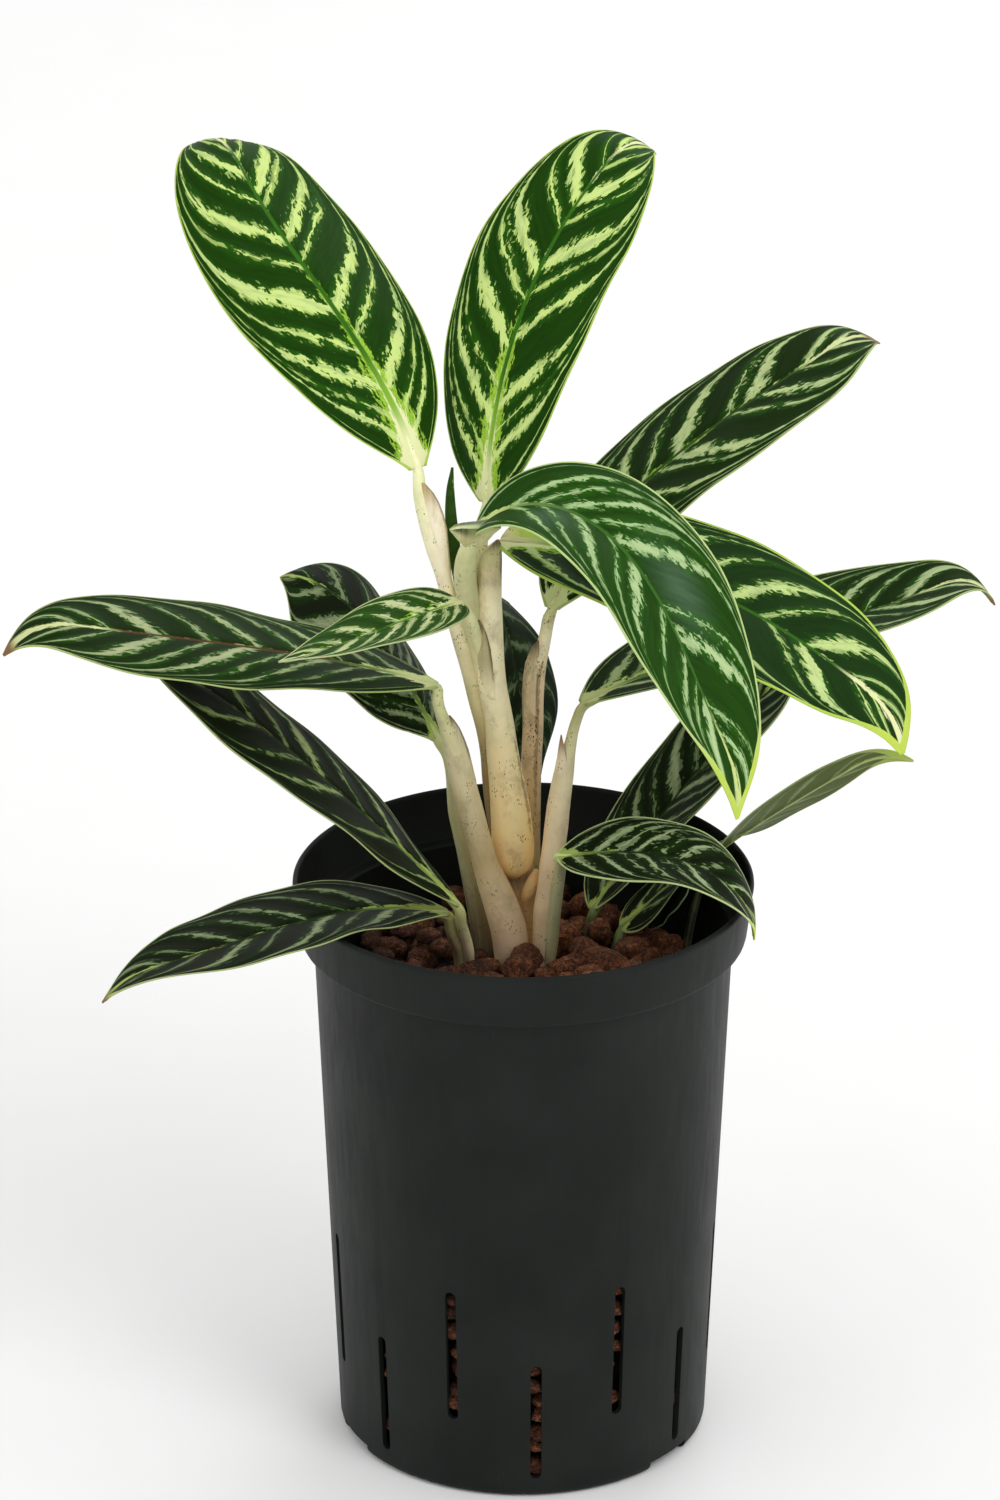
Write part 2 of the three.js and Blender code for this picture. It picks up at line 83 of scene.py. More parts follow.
def put_colours(piece, name, values):
    layer = piece.data.attributes.new(name, "FLOAT_COLOR", "POINT")
    alpha = np.ones((len(values), 1))
    layer.data.foreach_set("color", np.hstack([values, alpha]).astype(np.float32).ravel())


def thin_shell(front, back, turned=False):
    """Points and faces of a closed sheet from two grids of points. The front's rows run down and its columns
    to the right of whoever looks at it, or its rows run up where it is turned."""
    n, m = front.shape[:2]
    index = np.arange(n * m).reshape(n, m)
    near = np.stack([index[:-1, :-1], index[1:, :-1], index[1:, 1:], index[:-1, 1:]], -1).reshape(-1, 4)
    far = near[:, [0, 3, 2, 1]]
    rim = np.concatenate([index[:, 0], index[-1, 1:-1], index[:, -1][::-1], index[0, 1:-1][::-1]])
    if turned:
        near, far, rim = far, near, rim[::-1]
    after = np.roll(rim, -1)
    wall = np.stack([after, rim, rim + n * m, after + n * m], -1)
    points = np.concatenate([front.reshape(-1, 3), back.reshape(-1, 3)])
    return points, np.concatenate([near, far + n * m, wall]).tolist()


def twice(values):
    """A row of values for each point of a thin shell: its front's, and the same again for its back."""
    return np.tile(values.reshape(-1, values.shape[-1]), (2, 1))


def smoothstep(low, high, x):
    u = np.clip((x - low) / (high - low), 0, 1)
    return u * u * (3 - 2 * u)


def curve_through(knots, values, places):
    """A smooth curve through a row of values at each knot, read at places between the knots."""
    slope = np.gradient(values, knots, axis=0)
    k = np.clip(np.searchsorted(knots, places, side="right") - 1, 0, len(knots) - 2)
    step = (knots[k + 1] - knots[k])[:, None]
    u = (places - knots[k])[:, None] / step
    curve = (2 * u**3 - 3 * u**2 + 1) * values[k] + (3 * u**2 - 2 * u**3) * values[k + 1]
    return curve + ((u**3 - 2 * u**2 + u) * slope[k] + (u**3 - u**2) * slope[k + 1]) * step


def srgb(code):
    """A colour such as 0x2a4c12 as the linear red, green and blue that Blender works with."""
    channels = np.array([code >> 16 & 255, code >> 8 & 255, code & 255]) / 255
    return np.where(channels < 0.04045, channels / 12.92, ((channels + 0.055) / 1.055) ** 2.4)


def blend(first, second, share):
    """A colour for each place, which turns from the first to the second where the share goes from 0 to 1."""
    share = share[..., None]
    return first * (1 - share) + second * share


# Materials

class Shader:
    """A node material. Each method adds one node and gives back its output socket."""

    def __init__(self, name):
        self.material = bpy.data.materials.new(name)
        self.material.use_nodes = True
        self.tree = self.material.node_tree
        self.surface = self.tree.nodes["Principled BSDF"]

    def node(self, kind, settings=None, inputs=None):
        made = self.tree.nodes.new(kind)
        for key, value in (settings or {}).items():
            setattr(made, key, value)
        for key, value in (inputs or {}).items():
            self.put(made.inputs[key], value)
        return made

    def put(self, socket, value):
        if isinstance(value, bpy.types.NodeSocket):
            self.tree.links.new(value, socket)
        elif isinstance(value, np.ndarray):
            socket.default_value = (*value, 1.0)
        else:
            socket.default_value = value

    def math(self, operation, *values):
        return self.node("ShaderNodeMath", {"operation": operation}, dict(enumerate(values))).outputs[0]

    def plus(self, first, second):
        return self.math("ADD", first, second)

    def minus(self, first, second):
        return self.math("SUBTRACT", first, second)

    def times(self, first, second):
        return self.math("MULTIPLY", first, second)

    def times_plus(self, first, second, third):
        return self.math("MULTIPLY_ADD", first, second, third)

    def size(self, value):
        return self.math("ABSOLUTE", value)

    def centred(self, value, size):
        """A value from 0 to 1 turned into one that swings by half the size to either side of 0."""
        return self.times(self.minus(value, 0.5), size)

    def split(self, vector):
        return self.node("ShaderNodeSeparateXYZ", inputs={0: vector}).outputs

    def join(self, x, y, z):
        return self.node("ShaderNodeCombineXYZ", inputs={0: x, 1: y, 2: z}).outputs[0]

    def attribute(self, name, output="Vector"):
        return self.node("ShaderNodeAttribute", {"attribute_name": name}).outputs[output]

    def vectors(self, operation, first, second):
        return self.node("ShaderNodeVectorMath", {"operation": operation}, {0: first, 1: second}).outputs[0]

    def stretch(self, vector, x, y, z):
        return self.vectors("MULTIPLY", vector, (x, y, z))

    def noise(self, vector, scale, detail=2.0, roughness=0.5):
        inputs = {"Vector": vector, "Scale": scale, "Detail": detail, "Roughness": roughness}
        return self.node("ShaderNodeTexNoise", inputs=inputs).outputs["Fac"]

    def veined(self, vector, across, along, detail, roughness=0.5):
        """Noise with its own scale across and along a blade or a stalk, and apart for each seed."""
        return self.noise(self.stretch(vector, across, along, 1.0), 1.0, detail, roughness)

    def cells(self, vector, scale, output="Color"):
        inputs = {"Vector": vector, "Scale": scale}
        return self.node("ShaderNodeTexVoronoi", inputs=inputs).outputs[output]

    def ramp(self, value, low, high, to_low=0.0, to_high=1.0):
        inputs = {0: value, 1: low, 2: high, 3: to_low, 4: to_high}
        return self.node("ShaderNodeMapRange", {"clamp": True}, inputs).outputs[0]

    def choose(self, kind, inputs, output, share, first, second):
        """The first where the share is 0 and the second where it is 1, for numbers, vectors or colours."""
        values = {"Factor": share, inputs[0]: first, inputs[1]: second}
        return self.node("ShaderNodeMix", {"data_type": kind}, values).outputs[output]

    def mix_numbers(self, share, first, second):
        return self.choose("FLOAT", (2, 3), 0, share, first, second)

    def mix_vectors(self, share, first, second):
        return self.choose("VECTOR", (4, 5), 1, share, first, second)

    def mix(self, share, first, second):
        return self.choose("RGBA", (6, 7), 2, share, first, second)

    def bump(self, height, distance, strength=1.0):
        inputs = {"Height": height, "Distance": distance, "Strength": strength}
        return self.node("ShaderNodeBump", inputs=inputs).outputs[0]

    def finish(self, **inputs):
        for key, value in inputs.items():
            self.put(self.surface.inputs[key.replace("_", " ")], value)
        return self.material

    def here(self):
        """The place on the object, in millimetres."""
        place = self.node("ShaderNodeTexCoord").outputs["Object"]
        return self.stretch(place, 1 / MM, 1 / MM, 1 / MM)


def torn_edge(s, vein, off_rib, off_band):
    """How far, in millimetres, the edge of a band is pushed about: clumps, steps, teeth, crumbs and grain.
    Also the fine grain, and a number for each block and each crumb."""
    blocks, steps, chance = s.split(s.cells(s.stretch(vein, 0.5, 0.24, 1.0), 1.0))
    crumbs, pick, _ = s.split(s.cells(s.stretch(vein, 1.8, 0.9, 1.0), 1.0))
    clump, _, _ = s.split(s.cells(s.stretch(vein, 0.28, 0.2, 1.0), 1.0))
    fine = s.veined(vein, 1.9, 1.9, 2.0)
    above = s.math("GREATER_THAN", off_band, 0.0)
    teeth = s.times_plus(off_rib, 0.42, s.times_plus(steps, 2.0, above))
    teeth = s.math("FRACT", s.times_plus(above, -0.5, teeth))
    torn = s.plus(s.centred(clump, 1.3), s.centred(steps, 1.5))
    torn = s.plus(torn, s.centred(teeth, 1.5))
    torn = s.plus(torn, s.plus(s.centred(crumbs, 1.0), s.centred(fine, 0.6)))
    return torn, fine, blocks, chance, pick


def leaf_material():
    """Dark green with feathered pale bands, from what each blade stores at its vertices.

    vein holds the place across the leaf, the place along it at which the vein left the midrib, and the leaf's
    seed. left and right hold, for each half, the count of bands, the distance between two bands and half
    the width of a band. place is the share across, the share along and 1 on the upper face. glow is half the
    width of the lime patches by the midrib, half the midrib's own and how strongly the ground lights up
    beside a band. accent is half the width of the pale wedge on the left and on the right of the midrib, and
    how far inside the pale margin a place is.
    """
    s = Shader("leaf_skin")
    vein = s.attribute("vein")
    across, _, _ = s.split(vein)
    share, _, upper = s.split(s.attribute("place"))
    lime_half, rib_half, lit_share = s.split(s.attribute("glow"))
    flare_left, flare_right, margin = s.split(s.attribute("accent"))
    is_right = s.math("GREATER_THAN", share, 0.0)
    count, pitch, half = s.split(s.mix_vectors(is_right, s.attribute("left"), s.attribute("right")))
    off_rib = s.size(across)
    off_band = s.minus(count, s.math("ROUND", count))
    torn, fine, blocks, chance, pick = torn_edge(s, vein, off_rib, off_band)

    wander = s.veined(vein, 0.1, 0.12, 1.0)
    gaps = s.veined(vein, 0.22, 0.3, 1.0)
    room = s.ramp(half, 0.5, 2.0, 0.14, 1.0)
    jump = s.ramp(half, 0.5, 2.0, 0.4, 1.0)
    shift = s.times_plus(s.centred(blocks, 2.0), jump, s.centred(wander, 5.0))
    from_band = s.size(s.times_plus(off_band, pitch, shift))
    thinned = s.times(s.ramp(gaps, 0.3, 0.5, 1.5, 0.0), s.ramp(off_rib, 4.0, 14.0))
    inside = s.minus(s.minus(half, s.times_plus(torn, room, from_band)), thinned)
    band = s.ramp(inside, -0.06, 0.1)
    halo = s.times(s.ramp(inside, -1.3, -1.1), s.ramp(chance, 0.55, 0.57))
    stray = s.times(s.ramp(inside, -3.2, -1.2), s.ramp(pick, 0.94, 0.95))

    flare = s.mix_numbers(is_right, flare_left, flare_right)
    flared = s.ramp(s.minus(flare, s.times_plus(torn, 0.5, off_rib)), -0.15, 0.15)
    limed = s.ramp(s.minus(lime_half, s.times_plus(torn, 1.1, off_rib)), -0.3, 0.3)

    tint = s.veined(vein, 0.16, 0.5, 3.0)
    ground = s.attribute("ground", "Color")
    ground = s.mix(s.ramp(tint, 0.35, 0.7, 0.0, 0.55), ground, s.mix(0.6, ground, srgb(0x0A1A06)))
    lit = s.mix(0.55, ground, srgb(0x3F8A1C))
    ground = s.mix(s.times(s.ramp(inside, -3.6, -0.3), lit_share), ground, lit)
    lime = s.mix(s.ramp(fine, 0.3, 0.7), srgb(0x74A828), srgb(0xB2D84C))
    ground = s.mix(s.times(limed, upper), ground, lime)

    pale = s.attribute("pale", "Color")
    greyed = s.mix(0.6, pale, s.mix(0.5, ground, srgb(0xA3BF8E)))
    faded = s.noise(s.stretch(vein, 0.13, 0.3, 1.0), 1.3, 2.0)
    pale = s.mix(s.ramp(faded, 0.5, 0.68, 0.0, 0.75), pale, greyed)
    pale = s.mix(s.ramp(inside, 0.3, 2.2, 0.0, 0.35), pale, s.mix(0.5, pale, srgb(0xEDEFC0)))
    colour = s.mix(s.math("MAXIMUM", halo, stray), ground, s.mix(0.6, ground, pale))
    colour = s.mix(band, colour, pale)
    colour = s.mix(flared, colour, s.attribute("cream", "Color"))

    rib = s.ramp(s.minus(rib_half, off_rib), -0.25, 0.25)
    colour = s.mix(s.times(rib, upper), colour, s.attribute("rib", "Color"))
    edge = s.ramp(s.plus(s.centred(fine, 0.5), margin), 0.0, 0.12)
    colour = s.mix(edge, colour, s.attribute("edge", "Color"))
    under = s.mix(0.55, colour, s.attribute("under", "Color"))
    under = s.mix(rib, under, srgb(0xA9B77C))
    colour = s.mix(upper, under, colour)

    veins = s.veined(vein, 0.12, 2.2, 2.0)
    grain = s.noise(s.attribute("flat"), 3.0, 2.0)
    normal = s.bump(s.times_plus(veins, 0.8, s.times(grain, 0.2)), 0.0002, 0.6)
    gloss = s.ramp(grain, 0.3, 0.7, 0.36, 0.5)
    return s.finish(Base_Color=colour, Roughness=gloss, Specular_IOR_Level=0.05, Normal=normal)


def stem_material():
    """Smooth pale skin with fine length-wise lines, green and brown specks, and stains.

    stalk holds the place round the stem, the place along it and a seed. marks holds how thickly the specks
    lie, how stained the skin is and how near a brown seam a place is.
    """
    s = Shader("stem_skin")
    stalk = s.attribute("stalk")
    specks, stains, seam = s.split(s.attribute("marks"))
    place = s.here()
    tone = s.attribute("tone", "Color")
    lines = s.veined(stalk, 2.4, 0.05, 3.0)
    clouds = s.noise(place, 0.12, 3.0, 0.6)
    colour = s.mix(s.ramp(lines, 0.35, 0.7, 0.0, 0.45), tone, s.mix(0.4, tone, srgb(0xF4EED2)))
    colour = s.mix(s.ramp(clouds, 0.45, 0.7, 0.0, 0.4), colour, s.mix(0.5, colour, srgb(0x9DA36A)))

    blotches = s.veined(stalk, 0.5, 0.11, 4.0, 0.65)
    blotch = s.times(s.ramp(blotches, 0.5, 0.68), stains)
    colour = s.mix(s.times(blotch, 0.6), colour, s.mix(0.6, colour, srgb(0x6E5434)))
    ragged = s.times_plus(s.veined(stalk, 1.8, 0.4, 4.0, 0.7), 2.0, -1.0)
    seamed = s.ramp(s.plus(seam, ragged), 0.45, 0.75, 0.0, 0.6)
    colour = s.mix(seamed, colour, srgb(0x8A5C34))

    green = s.cells(s.stretch(place, 1.0, 1.0, 0.5), 1.3, "Distance")
    green_size = s.ramp(s.noise(place, 0.16, 1.0), 0.46, 0.64, 0.0, 0.34)
    colour = s.mix(s.ramp(s.minus(green_size, green), 0.0, 0.08, 0.0, 0.7), colour, srgb(0x66743C))
    brown = s.cells(s.stretch(place, 1.0, 1.0, 0.6), 1.25, "Distance")
    streaks = s.ramp(s.noise(s.stretch(place, 1.0, 1.0, 0.35), 0.42, 3.0, 0.6), 0.3, 0.72)
    crowd = s.times_plus(s.times_plus(seam, 0.5, specks), 0.34, s.times(streaks, 0.7))
    brown_size = s.ramp(crowd, 0.62, 0.98, 0.0, 0.42)
    colour = s.mix(s.ramp(s.minus(brown_size, brown), 0.0, 0.08, 0.0, 0.85), colour, srgb(0x4A2F1A))
    normal = s.bump(s.times_plus(lines, 0.7, s.times(clouds, 0.3)), 0.0004, 0.6)
    return s.finish(Base_Color=colour, Roughness=0.5, Specular_IOR_Level=0.3, Normal=normal)


def clay_material():
    """Fired clay: red-brown with dusty patches, pores and cracks.

    grain holds a seed, a tone, which is partly painted light as it is brighter to the right, and 1 in the
    near-black heart of the fill, which is painted shade.
    """
    s = Shader("fired_clay")
    place = s.here()
    seed, tone, deep = s.split(s.attribute("grain"))
    own = s.vectors("ADD", place, s.join(seed, seed, 0.0))
    patches = s.noise(own, 0.3, 4.0, 0.65)
    pores = s.cells(own, 1.0, "Distance")
    crumbs = s.noise(own, 2.2, 5.0, 0.75)
    cracks = s.noise(own, 0.5, 5.0, 0.7)
    crack = s.ramp(s.size(s.minus(cracks, 0.5)), 0.0, 0.045)
    # The tone, partly painted light that is brighter to the right, lightens the dusty patches and the clay
    # between them
    dusty = s.mix(tone, srgb(0x7E4424), srgb(0xC47848))
    colour = s.mix(tone, srgb(0x341C0E), srgb(0x96542E))
    colour = s.mix(s.ramp(patches, 0.42, 0.62, 0.0, 0.85), colour, dusty)
    colour = s.mix(s.ramp(crumbs, 0.55, 0.7, 0.0, 0.6), colour, srgb(0xD89A6E))
    colour = s.mix(s.ramp(crumbs, 0.28, 0.42, 0.7, 0.0), colour, srgb(0x20110A))
    # The cracks and pores are darkened as painted shade in those hollows, besides the bump that sinks them
    colour = s.mix(s.ramp(crack, 0.0, 1.0, 0.85, 0.0), colour, srgb(0x160B07))
    colour = s.mix(s.ramp(pores, 0.08, 0.3, 0.75, 0.0), colour, srgb(0x1A0E09))
    # Painted shade: the heart of the fill is made near-black, as the gaps between pebbles would be in shade
    colour = s.mix(s.times(deep, 0.9), colour, srgb(0x0E0806))
    height = s.times_plus(crumbs, 0.6, s.times(s.ramp(pores, 0.0, 0.35), 0.5))
    height = s.times_plus(crack, 0.6, height)
    return s.finish(Base_Color=colour, Roughness=0.95, Normal=s.bump(height, 0.0018, 1.0))


def pot_material():
    """Near-black moulded plastic with a satin skin and faint scuffs."""
    s = Shader("pot_plastic")
    place = s.here()
    scuffs = s.noise(s.stretch(place, 1.0, 1.0, 0.15), 0.35, 4.0, 0.7)
    clouds = s.noise(place, 0.03, 3.0)
    skin = s.noise(place, 4.0, 2.0)
    colour = s.mix(s.ramp(clouds, 0.35, 0.7), srgb(0x1A1D1B), srgb(0x202421))
    colour = s.mix(s.ramp(scuffs, 0.66, 0.8, 0.0, 0.2), colour, srgb(0x4C4F4C))
    rough = s.ramp(scuffs, 0.3, 0.8, 0.45, 0.6)
    normal = s.bump(s.times_plus(skin, 0.5, s.times(scuffs, 0.3)), 0.00012, 0.5)
    return s.finish(Base_Color=colour, Roughness=rough, Specular_IOR_Level=0.1, Normal=normal)


def floor_material():
    s = Shader("studio_floor")
    colour = s.mix(s.noise(s.here(), 0.02, 2.0), srgb(0xFBFBFA), srgb(0xFEFEFE))
    return s.finish(Base_Color=colour, Roughness=0.8)


# Leaf values

# The greens and creams of a leaf: the ground between its bands, the bands, the midrib, the margin, the
# underside, the wedge at its base and the midrib's young part. glow is half the width of the lime patches
# by the midrib, less than 0 for none, and lit how strongly the ground lights up beside a band.
LOOK = ("ground", "pale", "rib", "edge", "under", "cream", "young_rib", "glow", "lit")
LOOKS = {
    "bright": (0x1B4203, 0xCCE580, 0x356B16, 0xB9D65A, 0x8FA868, 0xECEFB4, 0x86B838, 5.2, 0.42),
    "fresh": (0x214809, 0xA9C78A, 0x3F6E28, 0xC4DA8C, 0x9DB878, 0xCFE08E, 0x6F8F4A, -3.0, 0.42),
    "deep": (0x192F07, 0xA7B985, 0x35501F, 0xB4C479, 0x7D9060, 0xD8E0A0, 0x6F9440, 1.6, 0.42),
    "silver": (0x141B09, 0x7A8862, 0x24341A, 0xB0BE80, 0x66764C, 0xA8BC62, 0x6F8C46, -1.2, 0.18),
    # The shade look is darker and greyer, for the leaf that hangs behind the cane: painted shade
    "shade": (0x232C1E, 0x5D6B54, 0x2C3824, 0x39452E, 0x4C5A40, 0x6B7A4C, 0x3A4A2C, -2.0, 0.18),
    "plain": (0x14240F, 0x1C3015, 0x2B4520, 0xA9B58E, 0x4C5A40, 0x4F6A35, 0x2B4520, -2.0, 0.18),
}

# A leaf's shape is the CAD part's: where the blade starts, its length and width, its heading and rise at
# the base, middle and tip, its roll at both ends, its fold, arch and curl, the shares of its length at which
# the curl starts and at which it is widest.
SHAPE = ("base", "length", "width", "heading", "rise", "roll", "fold", "arch", "curl", "curl_from", "widest")

# left and right hold where each pale band leaves the midrib, as a share of the length, and half its width;
# most of those under 1 are the thin lines between two bands. flare is the half width of the pale wedge at
# the base, and of the one at the tip left and right of the midrib, and tip_from where that one starts. lime
# and brown are where the margin turns lime and the tip brown, and past 1 they never do. margin is the width
# of the pale margin. A sheen is a painted reflection: a grey patch painted into the ground colour,
# given as a place along and across, its reach along and across, and its strength.
# A colour or glow given here takes the place of the look's.
USUAL = {"tip_from": 0.8, "lime": 1.02, "brown": 1.1, "margin": 0.45, "sheen": ()}


def new_leaf(name, look, shape, **own):
    return {"name": name, **USUAL, **dict(zip(LOOK, LOOKS[look])), **dict(zip(SHAPE, shape)), **own}


